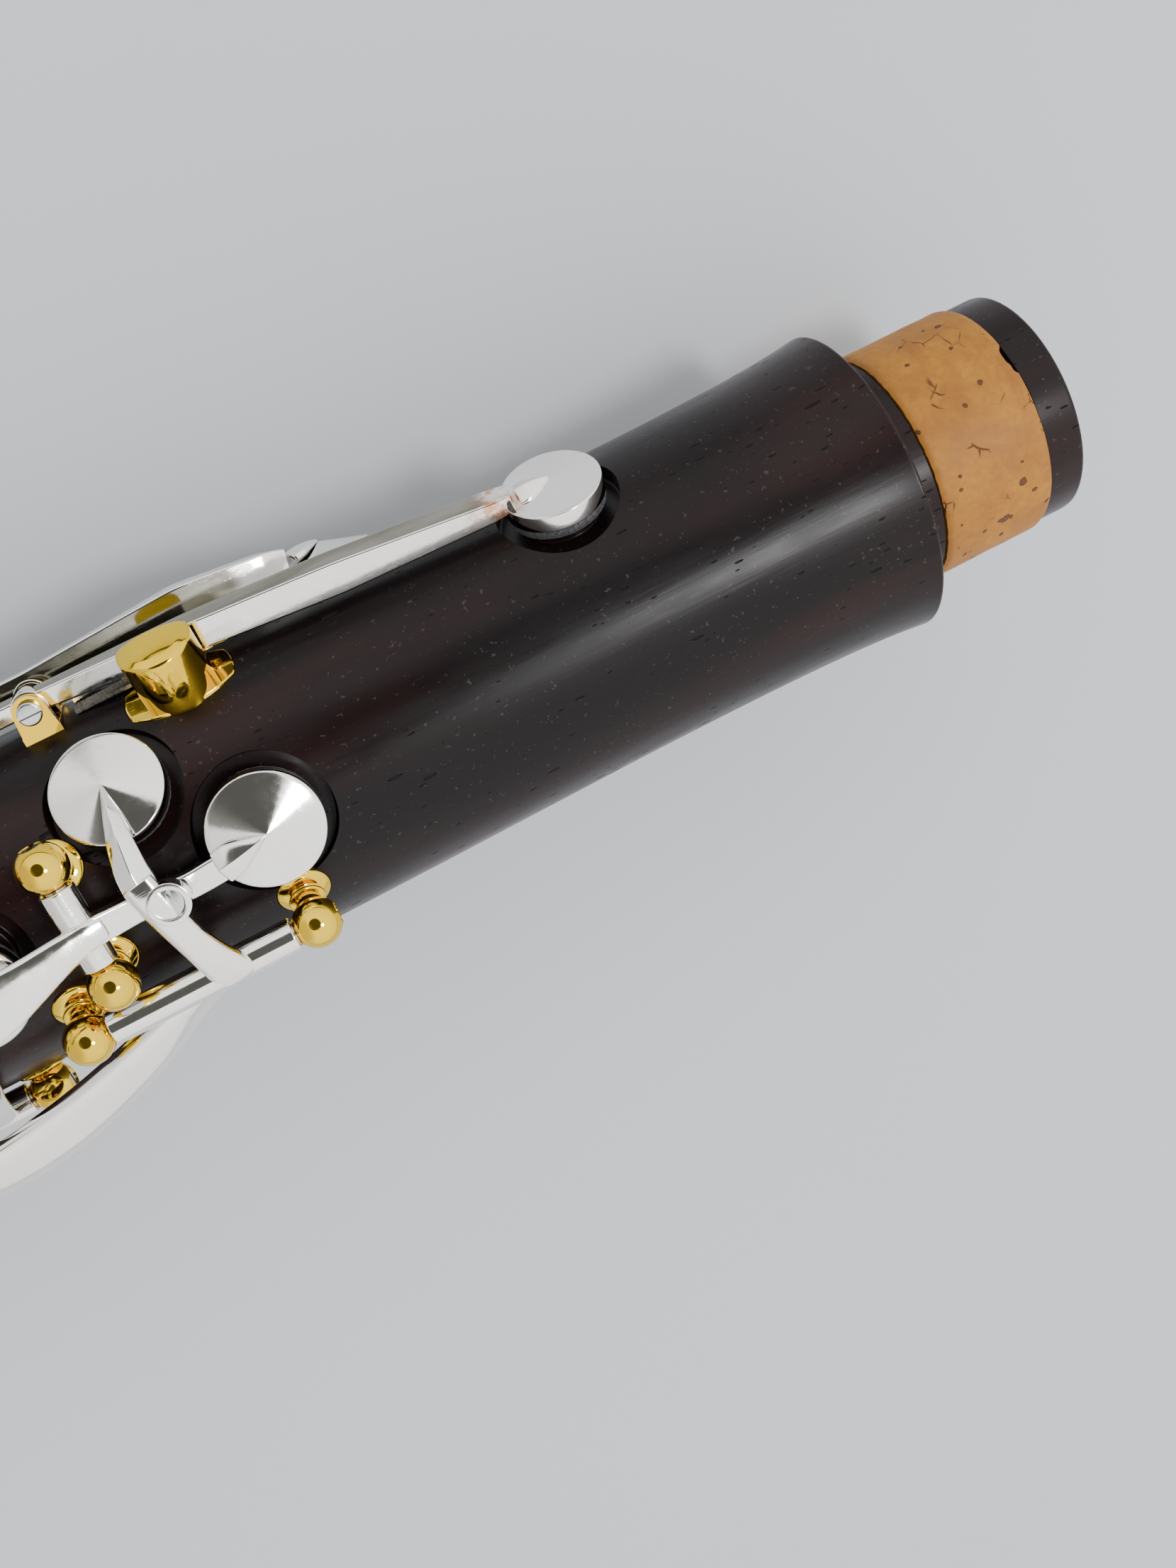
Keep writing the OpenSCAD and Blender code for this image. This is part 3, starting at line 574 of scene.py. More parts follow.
def wood_profile():
    """Closed section of the wood, as (radius, x): outside from the lower tip up, then the bore."""
    low_cork, top_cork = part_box("lower_tenon_cork"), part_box("barrel_tenon_cork")
    wall = TENON_R - GROOVE

    def step(x, first, second):
        return [(first, x), (second, x)]

    corners = [(BORE_R, LOW_END), (TENON_R, LOW_END)]
    corners += step(low_cork[0].x / MM, TENON_R, wall) + step(low_cork[1].x / MM, wall, TENON_R)
    corners += step(0, TENON_R, profile_r(0))
    low = fillet(corners, [0.25, 0.35, 0.12, 0.05, 0.05, 0.1, 0.1, 0.3], 3, False)[:-1]
    edge = 0.28
    low += [(profile_r(edge) - edge * (1 - math.sin(a)), edge * (1 - math.cos(a)))
            for a in np.linspace(0, math.pi / 2, 5)]
    xs = np.arange(edge + 0.45, BODY_LEN - edge, 0.45)
    skin = [(profile_r(x), x) for x in xs]
    skin += [(profile_r(BODY_LEN - edge) - edge * (1 - math.cos(a)),
              BODY_LEN - edge + edge * math.sin(a)) for a in np.linspace(0, math.pi / 2, 6)]
    corners = [(profile_r(BODY_LEN) - edge, BODY_LEN), (TENON_R, BODY_LEN)]
    corners += step(top_cork[0].x / MM, TENON_R, wall) + step(top_cork[1].x / MM, wall, TENON_R)
    corners += [(TENON_R, TOP_END), (BORE_R, TOP_END), (BORE_R, TOP_END - 1)]
    top = fillet(corners, [0, 0.1, 0.1, 0.05, 0.05, 0.12, 0.4, 0.3, 0], 3, False)[1:]
    bore = [(BORE_R, x) for x in np.linspace(TOP_END - 1, LOW_END + 0.5, 60)[1:]]
    return low + skin + top + bore


def vent_cutter(vent):
    """The hole, and the round recess that leaves a rim standing round it."""
    x, angle, cup_r, seat, hole = vent
    rim = hole + RIM_WALL
    section_line = [(0, 4), (hole, 4), (hole, seat), (rim, seat), (rim, seat - RECESS),
                    (cup_r + RECESS_GAP, seat - RECESS), (cup_r + RECESS_GAP, seat + 8),
                    (0, seat + 8)]
    return lathe(fillet(section_line, [0, 0, 0.15, 0.2, 0.15, 0.25, 0, 0], 3, False),
                 on_body(x, angle), 96)


def plug(place, radius, low, high, segments=64):
    return lathe([(0, low), (radius, low), (radius, high), (0, high)], place, segments)


def box_shell(place, low, high):
    made = bmesh.new()
    bmesh.ops.create_cube(made, size=1)
    low, high = Vector(low), Vector(high)
    points = [place @ Vector((a * (h - l) + (h + l) / 2 for a, l, h in zip(v.co, low, high)))
              for v in made.verts]
    faces = [tuple(v.index for v in f.verts) for f in made.faces]
    made.free()
    return points, faces


def boat(radius, offset, low, high, reach=4.9, steps=70):
    """A plate with two long curved sides and blunt ends."""
    half = math.acos(offset / radius)
    outline = []
    for side in (1, -1):
        for k in range(steps):
            a = -half + 2 * half * k / steps
            px, py = side * radius * math.sin(a), side * (radius * math.cos(a) - offset)
            trim = min(1, reach / math.hypot(px, py))
            outline.append((px * trim, py * trim))
    count, edge = len(outline), 0.12
    rows = [(1, low), (1, high - edge), (0.985, high - edge / 3), (0.955, high)]
    points = [Vector((x * s, y * s, h)) for s, h in rows for x, y in outline]
    faces = [tuple(range(count - 1, -1, -1)), tuple(range(3 * count, 4 * count))]
    faces += [(r * count + k, r * count + (k + 1) % count, (r + 1) * count + (k + 1) % count,
               (r + 1) * count + k) for r in range(3) for k in range(count)]
    return points, faces


# Rods along X: sideways place, height, lower and upper post x, from the rod nodes' boxes
def x_rod(node):
    low, high = (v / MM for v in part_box(node))
    reach = POST_TOP - 0.1
    return (low.y + high.y) / 2, (low.z + high.z) / 2, low.x + reach, high.x - reach


RODS = {name: x_rod(name + "_key_rod") for name in
        ("ab", "vent", "thumb", "ring", "sliver", "cs")}
A_X = JOINTS["a_key_hinge"]["pos_m"][0] / MM
A_Z = JOINTS["a_key_hinge"]["pos_m"][2] / MM
A_POST_Y = 5.55


def post_places(name):
    """(x, angle, height) of each post that carries a rod."""
    if name == "a":
        angle = math.degrees(math.atan2(A_POST_Y, A_Z))
        return [(A_X, side * angle, math.hypot(A_POST_Y, A_Z)) for side in (-1, 1)]
    y, z, low, high = RODS[name]
    return [(x, math.degrees(math.atan2(y, z)), math.hypot(y, z)) for x in (low, high)]


def make_wood():
    axis = aimed((0, 0, 0), (1, 0, 0))
    made = make_mesh("wood_body", [lathe(wood_profile(), axis, 240, True)])
    carve(made, [lathe(fillet([(0, 9), (r, 9), (r, top), (0, top)], [0, 0, 0.35, 0], 4, False),
                       on_body(x, 0), 96) for x, hole, r, top in CHIMNEYS], "UNION")
    cuts = [vent_cutter(v) for name, v in VENTS.items() if name != "register"]
    for x, hole, r, top in CHIMNEYS:
        cuts.append(lathe([(0, 4), (hole, 4), (hole, top - 0.6), (hole + 0.15, top - 0.3),
                           (hole + 0.6, top + 0.01), (hole + 0.6, top + 3), (0, top + 3)],
                          on_body(x, 0), 96))
    cuts.append(plug(on_body(THUMB_HOLE[0], 180), THUMB_HOLE[2], 4, 20, 96))
    register = VENTS["register"]
    cuts.append(plug(on_body(register[0], 180), register[2] + 1, 13.2, 20, 96))
    cuts.append(plug(on_body(register[0], 180), 2.6, 4, 20))
    for name in ("a", *RODS):
        for x, angle, _ in post_places(name):
            cuts.append(plug(on_body(x, angle), FLANGE_R + SEAT_GAP, POST_SEAT, 20))
    for x, angle, half, *_ in SADDLES.values():
        reach = SADDLE_REACH + SEAT_GAP
        cuts.append(box_shell(on_body(x, angle), (-reach, -half - SEAT_GAP, SADDLE_SEAT),
                              (reach, half + SEAT_GAP, SADDLE_SEAT + 6)))
    cuts.append(moved(boat(9.03, 6, 13, 19, 4.93), on_body(*GUIDE[:2])))
    carve(made, cuts)
    return finish_piece(made, WOOD, "joint_body", ["body"], 35)


def make_cork(name, node, chipped):
    """A cork ring whose edge by the tip wood is broken away in a few places."""
    low, high = (v.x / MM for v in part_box(node))
    radius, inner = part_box(node)[1].z / MM, TENON_R - GROOVE
    segments, steps = 300, 44
    points, faces = [], []
    for k in range(segments):
        a = math.tau * k / segments
        ragged = 0.05 * math.sin(23 * a) * math.sin(11 * a + 1) + 0.03 * math.sin(57 * a)
        chip = 0.0
        if chipped:
            for centre, width, depth in ((0.62, 0.10, 0.42), (0.50, 0.05, 0.25), (2.9, 0.08, 0.3)):
                gap = abs((a - centre + math.pi) % math.tau - math.pi) / width
                chip = max(chip, depth * (1 - min(1, gap) ** 4)) if gap < 1 else chip
        top, bottom = high - 0.06 + 0.04 * ragged - chip, low + 0.06 + ragged * 0.6
        row = [(inner, bottom)]
        for s in range(steps + 1):
            x = bottom + (top - bottom) * s / steps
            end = min(x - bottom, top - x)
            fall = 0.22 * max(0, 1 - end / 0.55) ** 2
            swell = 0.012 * math.sin(5 * a + x) + 0.008 * math.sin(13 * a - 2.1 * x)
            row.append((radius - 0.02 - fall + swell, x))
        row.append((inner, top))
        points += [Vector((x, r * math.sin(a), r * math.cos(a))) for r, x in row]
    count = steps + 3
    for k in range(segments):
        here, there = k * count, (k + 1) % segments * count
        faces += [(here + s, here + (s + 1) % count, there + (s + 1) % count, there + s)
                  for s in range(count)]
    made = make_mesh(name, [(points, faces)])
    return finish_piece(made, CORK, "joint_body", [node], 50)


# ---- posts, rods, saddles and guide ----

def post_shell(x, angle, height):
    """A threaded foot under a disc, a neck with two rings, and a ball on top."""
    foot = [(0, POST_SEAT - 1.5), (1.25, POST_SEAT - 1.5), (1.25, POST_SEAT),
            (FLANGE_R, POST_SEAT), (FLANGE_R, POST_SEAT + 0.5), (1.75, POST_SEAT + 0.78),
            (1.3, POST_SEAT + 0.9), (1.15, POST_SEAT + 1.2), (1.6, POST_SEAT + 1.3),
            (1.6, POST_SEAT + 1.62), (1.15, POST_SEAT + 1.75)]
    rounded = fillet(foot, [0, 0.1, 0.1, 0.08, 0.2, 0.15, 0.15, 0.1, 0.14, 0.14, 0.1], 4, False)
    join = height - math.sqrt(BALL_R**2 - 1.15**2)
    if join > POST_SEAT + 1.8:
        rounded.append((1.15, join))
    start = math.asin(min(1, 1.15 / BALL_R))
    rounded += [(BALL_R * math.sin(a), height - BALL_R * math.cos(a))
                for a in np.linspace(start, math.pi, 30)[:-1]] + [(0, height + BALL_R)]
    line = [p for k, p in enumerate(rounded) if k == 0 or p[1] > rounded[k - 1][1] - 1e-3]
    return lathe(line, on_body(x, angle), 64)


def make_posts():
    for name in ("a", *RODS):
        made = make_mesh(f"{name}_key_ball_posts", [post_shell(*p) for p in post_places(name)])
        if name == "a":
            holes = [plug(aimed((A_X, 0, A_Z), (0, 1, 0)), ROD_R, -12, 12, 48)]
        else:
            y, z, low, high = RODS[name]
            holes = [plug(aimed((low, y, z), (1, 0, 0)), ROD_R, -4, high - low + 4, 48)]
        carve(made, holes)
        finish_piece(made, GOLD, "joint_body", [f"{name}_key_posts"])


def bevelled(made, width, angle=35):
    soften = made.modifiers.new("soften", "BEVEL")
    soften.width, soften.segments, soften.limit_method = width * MM, 3, "ANGLE"
    soften.angle_limit = math.radians(angle)
    apply_modifiers(made)
    return made


def make_saddle(name):
    """A flat base with round-topped ears that carry the hinge screw."""
    x, angle, half, inner, middle = SADDLES[name]
    place = on_body(x, angle)
    made = make_mesh(f"{name}_hinge_saddle", [box_shell(
        place, (-SADDLE_REACH, -half, SADDLE_SEAT), (SADDLE_REACH, half, SADDLE_SEAT + SADDLE_T))])
    foot = SADDLE_SEAT + 0.3
    outline = [(-SADDLE_REACH, foot)] + [
        (EAR_R * math.cos(a), HINGE_H + EAR_R * math.sin(a))
        for a in np.linspace(math.pi, 0, 25)] + [(SADDLE_REACH, foot)]
    count = len(outline)
    for low, high in ((-half, -inner), (-middle, middle), (inner, half)):
        if low == high:
            continue
        points = [place @ Vector((px, py, pz)) for py in (low, high) for px, pz in outline]
        faces = [tuple(range(count)), tuple(range(2 * count - 1, count - 1, -1))]
        faces += [(k, (k + 1) % count, count + (k + 1) % count, count + k) for k in range(count)]
        carve(made, [(points, faces)], "UNION")
    bevelled(made, 0.14)
    carve(made, [plug(place @ aimed((0, 0, HINGE_H), (0, 1, 0)), SCREW_R, -6, 6, 40)])
    return finish_piece(made, GOLD, "joint_body", [f"{name}_saddle"])


def make_hinge_screw(name):
    """A hinge screw with a domed, slotted head."""
    x, angle, half, *_ = SADDLES[name]
    head = [(0, -half - 0.6), (HEAD_R, -half - 0.6), (HEAD_R, -half), (SCREW_R, -half),
            (SCREW_R, half), (0, half)]
    line = fillet(head, [0, 0.22, 0.08, 0.02, 0.15, 0], 4, False)
    place = on_body(x, angle) @ aimed((0, 0, HINGE_H), (0, 1, 0))
    made = make_mesh(f"{name}_hinge_screw", [lathe(line, place, 48)])
    carve(made, [box_shell(place, (-3, -0.2, -half - 1.5), (3, 0.2, -half - 0.35))])
    return finish_piece(made, STEEL, "joint_body", [f"{name}_screw"])


def make_guide():
    """The domed barrel that keeps the trill key's bar from swinging."""
    x, angle, radius = GUIDE
    place = on_body(x, angle)
    dome_r, dome_z = 9, 10.7
    rim = dome_z + math.sqrt(dome_r**2 - radius**2)
    line = [(0, GUIDE_FOOT), (radius, GUIDE_FOOT)]
    line += [(radius, h) for h in np.linspace(14, rim - 0.45, 6)]
    line += [(radius - 0.45 * (1 - math.cos(a)), rim - 0.4 + 0.45 * math.sin(a))
             for a in np.linspace(0.2, 1.25, 7)]
    lean = math.asin((radius - 0.45) / dome_r)
    line += [(dome_r * math.sin(a), dome_z + dome_r * math.cos(a))
             for a in np.linspace(lean * 0.93, 0, 14)]
    line[-1] = (0, dome_z + dome_r)
    made = make_mesh("trill_key_guide_barrel", [lathe(line, place, 96)])
    carve(made, [box_shell(place, (-6, GUIDE_FLAT, GUIDE_TOP), (6, 8, 22))])
    bevelled(made, 0.12, 40)
    finish_piece(made, GOLD, "joint_body", ["trill_guide"])
    base = make_mesh("trill_key_guide_base", [moved(boat(9, 6, 13, GUIDE_TOP), place)])
    finish_piece(base, GOLD, "joint_body")


# ---- cups and pads ----

def cup_shell(vent, flat=False, cone=CUP_CONE):
    """A key cup: thick wall, rounded rim, and a conical or a flat top."""
    x, angle, r, seat, _ = vent
    low, inside = seat + PAD_SHOW, seat + PAD_SHOW + 0.95
    wall = low + CUP_WALL
    if flat:
        top = [(r, wall - 0.35), (r - 0.35, wall - 0.08), (0, wall)]
        rounds = [0.3, 0.3, 0]
    else:
        rings = (r - 0.4, 0.66 * r, 0.33 * r, 0.5, 0.12, 0)
        top = [(r, wall)] + [(ring, wall + cone * (1 - ring / r)) for ring in rings]
        rounds = [0.14] + [0] * len(rings)
    line = [(0, inside), (r - CUP_METAL, inside), (r - CUP_METAL, low), (r, low), *top]
    return lathe(fillet(line, [0, 0.05, 0.1, 0.12, *rounds], 4, False), on_body(x, angle), 128)


def make_pad(name, node, body, pose=None):
    """A leather pad: flat face, and a rounded edge with fine creases that bulges a little
    under its cup."""
    x, angle, cup_r, seat, hole = VENTS[name]
    r, low, high = cup_r - CUP_METAL, seat + 0.02, seat + PAD_SHOW + 0.9
    line = [(0, low + 0.06), (hole - 0.2, low + 0.06), (hole + 0.1, low), (hole + RIM_WALL + 0.2, low),
            (r - 0.2, low + 0.03), (r + 0.12, low + 0.25), (r + 0.24, low + 0.55),
            (r + 0.18, low + 0.85), (r - 0.04, low + PAD_SHOW), (r - 0.04, high), (0, high)]
    points, faces = lathe(fillet(line, 0.1, 3, False), Matrix.Identity(4), 240)
    for p in points:
        reach, turn = math.hypot(p.x, p.y), math.atan2(p.y, p.x)
        if reach > r - 0.5 and p.z < seat + PAD_SHOW:
            fold = (math.sin(31 * turn + 2 * math.sin(3 * turn)) * math.sin(7 * turn + x)
                    + 0.6 * math.sin(53 * turn + 3 * math.cos(5 * turn)))
            grow = 1 + 0.02 * fold * min(1, (reach - r + 0.5) / 0.6) / r
            p.x, p.y = p.x * grow, p.y * grow
    place = (pose or Matrix.Identity(4)) @ on_body(x, angle)
    made = make_mesh(f"{name}_leather_pad", [moved((points, faces), place)])
    return finish_piece(made, LEATHER, body, [node], 60)


# ---- keys ----

def spear(vent, foot, foot_up, width, thick=0.9, top=0.32, cone=CUP_CONE):
    """A pointed leaf soldered on a cup, from its foot beside the rim to the cone's tip."""
    x, angle, r, seat, _ = vent
    tip = at(x, angle, seat + PAD_SHOW + CUP_WALL + cone + top - 0.2)
    foot = Vector(foot)
    up = out(angle)
    stations = [(foot, foot_up, width, thick * 1.2)]
    for share, w, t in ((0.3, width * 0.98, thick * 1.15), (0.6, width * 0.62, thick * 0.85),
                        (0.85, width * 0.28, thick * 0.55), (1.0, 0.12, 0.2)):
        place = foot.lerp(tip, share)
        blend = min(1, share * 1.6)
        stations.append((place + up * (0.16 * math.sin(math.pi * share)),
                         Vector(foot_up).lerp(up, blend), w, t))
    return sweep(stations, "roof", (0.3, 0.1), 0.25)


def tube_shell(name):
    y, z, low, high = RODS[name]
    return collar((low + TUBE_GAP, y, z), (1, 0, 0), TUBE_R, ROD_R + RUN_GAP,
                  high - low - 2 * TUBE_GAP)


def chain(stations, kind="bar", **options):
    """A sweep through CAD chips: x, y, z, width, thickness, tilt."""
    return sweep([(Vector(s[:3]), out(s[5]), s[3], s[4]) for s in stations], kind, **options)


def make_key(name, shells, body, node, pose=None, material=SILVER):
    shells = [moved(s, pose or Matrix.Identity(4)) for s in shells]
    made = make_mesh(name, shells)
    return finish_piece(made, material, body, [node])


def make_a_key():
    x = VENTS["a"][0]
    shells = [
        cup_shell(VENTS["a"]),
        collar((A_X, -A_POST_Y + TUBE_GAP, A_Z), (0, 1, 0), TUBE_R, ROD_R + RUN_GAP,
               2 * (A_POST_Y - TUBE_GAP)),
        spear(VENTS["a"], (x - 4.75, -0.95, 16.75), (-0.35, 0, 1), 2.9, 0.95),
        chain([(x - 3.2, -0.8, 16.5, 2.2, 1.2, 0), (124.2, -0.9, 16.25, 2.3, 1.3, 0),
               (121.3, -1.2, 15.85, 2.2, 1.4, 0), (116.6, -0.8, 16.1, 2.2, 1.5, 0),
               (113.4, -0.6, 17.1, 2.4, 1.7, 0), (A_X - 0.8, -0.7, 17.75, 2.6, 1.5, 0)]),
        chain([(114.2, -0.6, 17.3, 2.2, 1.1, 0), (A_X, -0.6, 17.85, 2.6, 1.4, 0),
               (109, -1.1, 18.6, 3.2, 1.25, 0), (105.5, -1.8, 19.6, 4.7, 1.15, 0),
               (101, -2.1, 20.45, 5.9, 1.1, 0), (98, -2.2, 20.9, 6.3, 1.05, 0),
               (94.5, -2.2, 20.9, 6.1, 1.0, 0)], "soft", nose=(0.4, 2.8)),
    ]
    return make_key("a_key_lever", shells, "a_key_body", "a_key")


def make_ab_key():
    vent = VENTS["ab"]
    boss = Vector((119.4, -1.1, 17.2))
    shells = [
        cup_shell(vent), tube_shell("ab"),
        collar(boss, (0, 0, 1), 1.78, 1.25, 1.6, 0.12),
        # the arm from the tube, up beside the boss
        chain([(121.0, -10.3, 15.5, 4.4, 1.5, -40), (120.5, -8.9, 16.4, 3.6, 1.5, -32),
               (119.7, -6.4, 17.3, 2.7, 1.4, -20), (119.0, -3.6, 17.95, 2.6, 1.35, -8),
               (118.3, -0.6, 18.15, 2.8, 1.3, 0), (117.9, 1.6, 18.05, 2.7, 1.25, 6)],
              "soft", nose=(0.9, 0.3), spacing=0.3),
        # the long leaf from the boss to the cup's tip
        sweep([(Vector((118.0, 0.6, 18.1)), out(3), 2.9, 1.3),
               (Vector((118.0, 2.4, 17.95)), out(9), 2.7, 1.3),
               (Vector((118.3, 4.8, 17.35)), out(17), 2.2, 1.25),
               (Vector((118.6, 7.0, 16.2)), out(26), 1.3, 0.95),
               (at(118.8, 32, 17.2), out(32), 0.14, 0.25)], "roof", nose=(0.3, 0.1),
              spacing=0.25),
        # the curved touch beside the body
        chain([(120.2, -9.9, 14.2, 1.8, 1.5, -50), (116.5, -10.8, 13.7, 3.3, 1.9, -42),
               (112.5, -12.7, 12.8, 4.5, 2.1, -36), (108, -14.6, 11.9, 5.3, 2.1, -32),
               (103, -16.3, 11.0, 5.9, 2.0, -30), (98, -17.5, 10.3, 6.3, 1.9, -30),
               (92, -18.0, 9.9, 5.9, 1.8, -32), (85.4, -18.1, 9.6, 4.8, 1.6, -36)], "soft",
              nose=(0.6, 2.2)),
    ]
    made = make_key("ab_key_lever", shells, "ab_key_body", "ab_key")
    screw = lathe(fillet([(0, -0.32), (1.22, -0.32), (1.22, 1.42), (0, 1.42)],
                         [0, 0.1, 0.14, 0], 3, False), Matrix.Translation(boss), 48)
    point = make_mesh("ab_adjusting_screw_slotted", [screw])
    turn = Matrix.Translation(boss) @ Matrix.Rotation(math.radians(65), 4, "Z")
    carve(point, [box_shell(turn, (-3, -0.16, 1.0), (3, 0.16, 3))])
    finish_piece(point, STEEL, "ab_key_body", ["ab_adjusting_screw"])
    return made


def finger_ring(x, z):
    line = fillet([(5, 0), (6.3, 0), (6.3, 1.1), (5, 1.1)], [0.2, 0.35, 0.35, 0.3], 5)
    return lathe(line, Matrix.Translation((x, 0, z)), 128, True)


def make_vent_key():
    pose = turned("vent_key_hinge", 6)
    shells = [
        cup_shell(VENTS["vent"], True), tube_shell("vent"),
        body_sweep([(94.3, -80, 15.6, 17, 3), (94.8, -74, 15.3, 16.9, 2.9),
                    (96, -58, 15, 16.2, 2.9), (98, -34, 15.3, 16.3, 2.6),
                    (99.5, -19, 15.7, 16.4, 2.4), (101.2, -5, 15.15, 15.8, 2.3),
                    (102.4, 2, 15.1, 15.7, 1.4)], "soft", nose=(0.3, 0.6), spacing=0.3),
        chain([(89.5, -15.9, 2.4, 2.4, 1.6, 90), (89.5, -16.6, -0.5, 2.4, 1.3, 90),
               (89.5, -16.7, -4.2, 2.4, 1, 90)], "soft", nose=(0.3, 1.1)),
    ]
    make_key("vent_key_lever", shells, "vent_key_body", "vent_key", pose)
    make_pad("vent", "vent_pad", "vent_key_body", pose)


def make_thumb_ring():
    shells = [
        tube_shell("thumb"), finger_ring(THUMB_HOLE[0], -15.4),
        chain([(94, -5.6, -14.85, 2.6, 1.1, 180), (94, -8.8, -14.0, 2.5, 1.15, -165),
               (94, -12, -11.6, 2.7, 1.2, -150)]),
        chain([(89.5, -13.2, -9.6, 2.4, 1.3, -120), (89.5, -14.6, -6.5, 2.3, 1.15, 105),
               (89.5, -15.1, -2.2, 2, 1, 90)], "soft", nose=(0.3, 1.0)),
    ]
    make_key("thumb_ring_lever", shells, "thumb_ring_body", "thumb_ring_key",
             turned("thumb_ring_hinge", -4.4))


def make_ring_key():
    y, z = RODS["ring"][:2]
    pose = turned("ring_key_hinge", -6)
    shells = [tube_shell("ring"), cup_shell(VENTS["ring_key"], True)]
    for x, *_ in CHIMNEYS[:2]:
        shells.append(finger_ring(x, 14.3))
        shells.append(chain([(x, 5.7, 14.85, 3.2, 1.0, 0), (x, 7.4, 14.95, 3.4, 1.1, 6),
                             (x, y - 0.6, z + 0.35, 4.2, 1.2, 20)]))
    shells += [
        chain([(72, 0.4, 16.1, 1.4, 0.8, 0), (72, 2.2, 16.25, 2.4, 0.9, 0),
               (72, y - 0.8, z + 0.6, 2.5, 1, 14)], nose=(0.6, 0.25)),
        chain([(22.8, y + 0.7, z + 0.7, 2.4, 1.3, 50), (18, y + 3.7, z - 0.3, 2.4, 1.3, 60),
               (11, y + 3.9, z - 0.45, 2.8, 1.25, 59), (3.1, y + 4, z - 0.5, 3.6, 1.2, 58)],
              "soft", nose=(0.4, 1.6)),
    ]
    make_key("ring_key_lever", shells, "ring_key_body", "ring_key", pose)
    make_pad("ring_key", "ring_key_pad", "ring_key_body", pose)


def make_side_and_small_keys():
    sliver, cs = VENTS["sliver"], VENTS["cs"]
    shells = [
        cup_shell(sliver), tube_shell("sliver"),
        body_sweep([(49.6, -56, 17.2, 18.3, 3), (49.6, -46, 17.2, 18.4, 3),
                    (49.6, -34, 17, 18.3, 3), (49.6, -18, 16.7, 18, 3.8),
                    (49.6, -7, 16.6, 17.8, 4.2)], "soft", nose=(0.4, 1.8)),
        body_sweep([(57.3, -57, 17, 18.3, 3), (57.5, -62, 16.9, 18.3, 3),
                    (58, -76, 16.5, 17.7, 2.4), (58, -92, 16.7, 17.4, 0.5)], "roof",
                   nose=(0.3, 0.2)),
    ]
    make_key("sliver_key_lever", shells, "sliver_key_body", "sliver_key")
    make_pad("sliver", "sliver_pad", "sliver_key_body")
    shells = [
        cup_shell(cs), tube_shell("cs"),
        body_sweep([(29.2, -73, 17, 18.3, 3), (29, -68, 16.9, 18.2, 3),
                    (28.2, -54, 16.5, 17.7, 2.4), (28, -38, 16.7, 17.4, 0.5)], "roof",
                   nose=(0.3, 0.2)),
        body_sweep([(25, -78, 17, 18.3, 2.8), (23, -85, 17.3, 18.5, 3.6),
                    (20, -94, 18.1, 19.3, 7.4), (16, -97, 18.2, 19.4, 8),
                    (12.8, -98, 18.2, 19.4, 6.6)], "soft", nose=(0.5, 2.6)),
    ]
    make_key("cs_key_lever", shells, "cs_key_body", "cs_key")
    make_pad("cs", "cs_pad", "cs_key_body")


def rocking_key(name, vent_name, saddle, lane, bar, touch, material=SILVER, cone=CUP_CONE):
    """A key that rocks in a saddle: cup with a leaf, long bar, and a touch."""
    vent = VENTS[vent_name]
    hinge = on_body(*SADDLES[saddle][:2])
    start = hinge @ Vector((0, lane - LUG_W / 2, HINGE_H))
    around = hinge.to_3x3() @ Vector((0, 1, 0))
    shells = [
        cup_shell(vent, cone=cone), body_sweep(bar),
        body_sweep(touch, "soft", nose=(0.4, 2.0)),
        collar(start, around, 1.6, SCREW_R + RUN_GAP, LUG_W, 0.15),
    ]
    first = bar[0]
    foot = at(first[0] + 0.3, first[1], max((first[3] + first[2]) / 2, vent[3] + 2.45 + cone))
    shells.append(spear(vent, foot, out(first[1]) - Vector((0.25, 0, 0)), 3.0, 0.95, cone=cone))
    return make_key(f"{name}_lever", shells, f"{name}_body", name, None, material)


def trill_touch(start, bend, end):
    """Stations of a trill key's touch, from the bar's angle round to the touch's."""
    return [(53, start, 17.55, 19.0, 2.2), (49, bend, 17.8, 19.2, 2.9),
            (45, end, 18.2, 19.6, 4.6), (40, end, 18.3, 19.6, 4.9), (34.6, end, 18.3, 19.5, 4.6)]


def side_touch(start, end):
    """Stations of a side key's touch, from the bar's angle round to the touch's."""
    return [(36.5, start, 16.35, 17.7, 2), (33.5, start - 1, 16.7, 18.1, 2.4),
            (30, end, 17.6, 19, 4.8), (21, end, 17.6, 19, 5), (13.6, end, 17.6, 18.9, 4.7)]


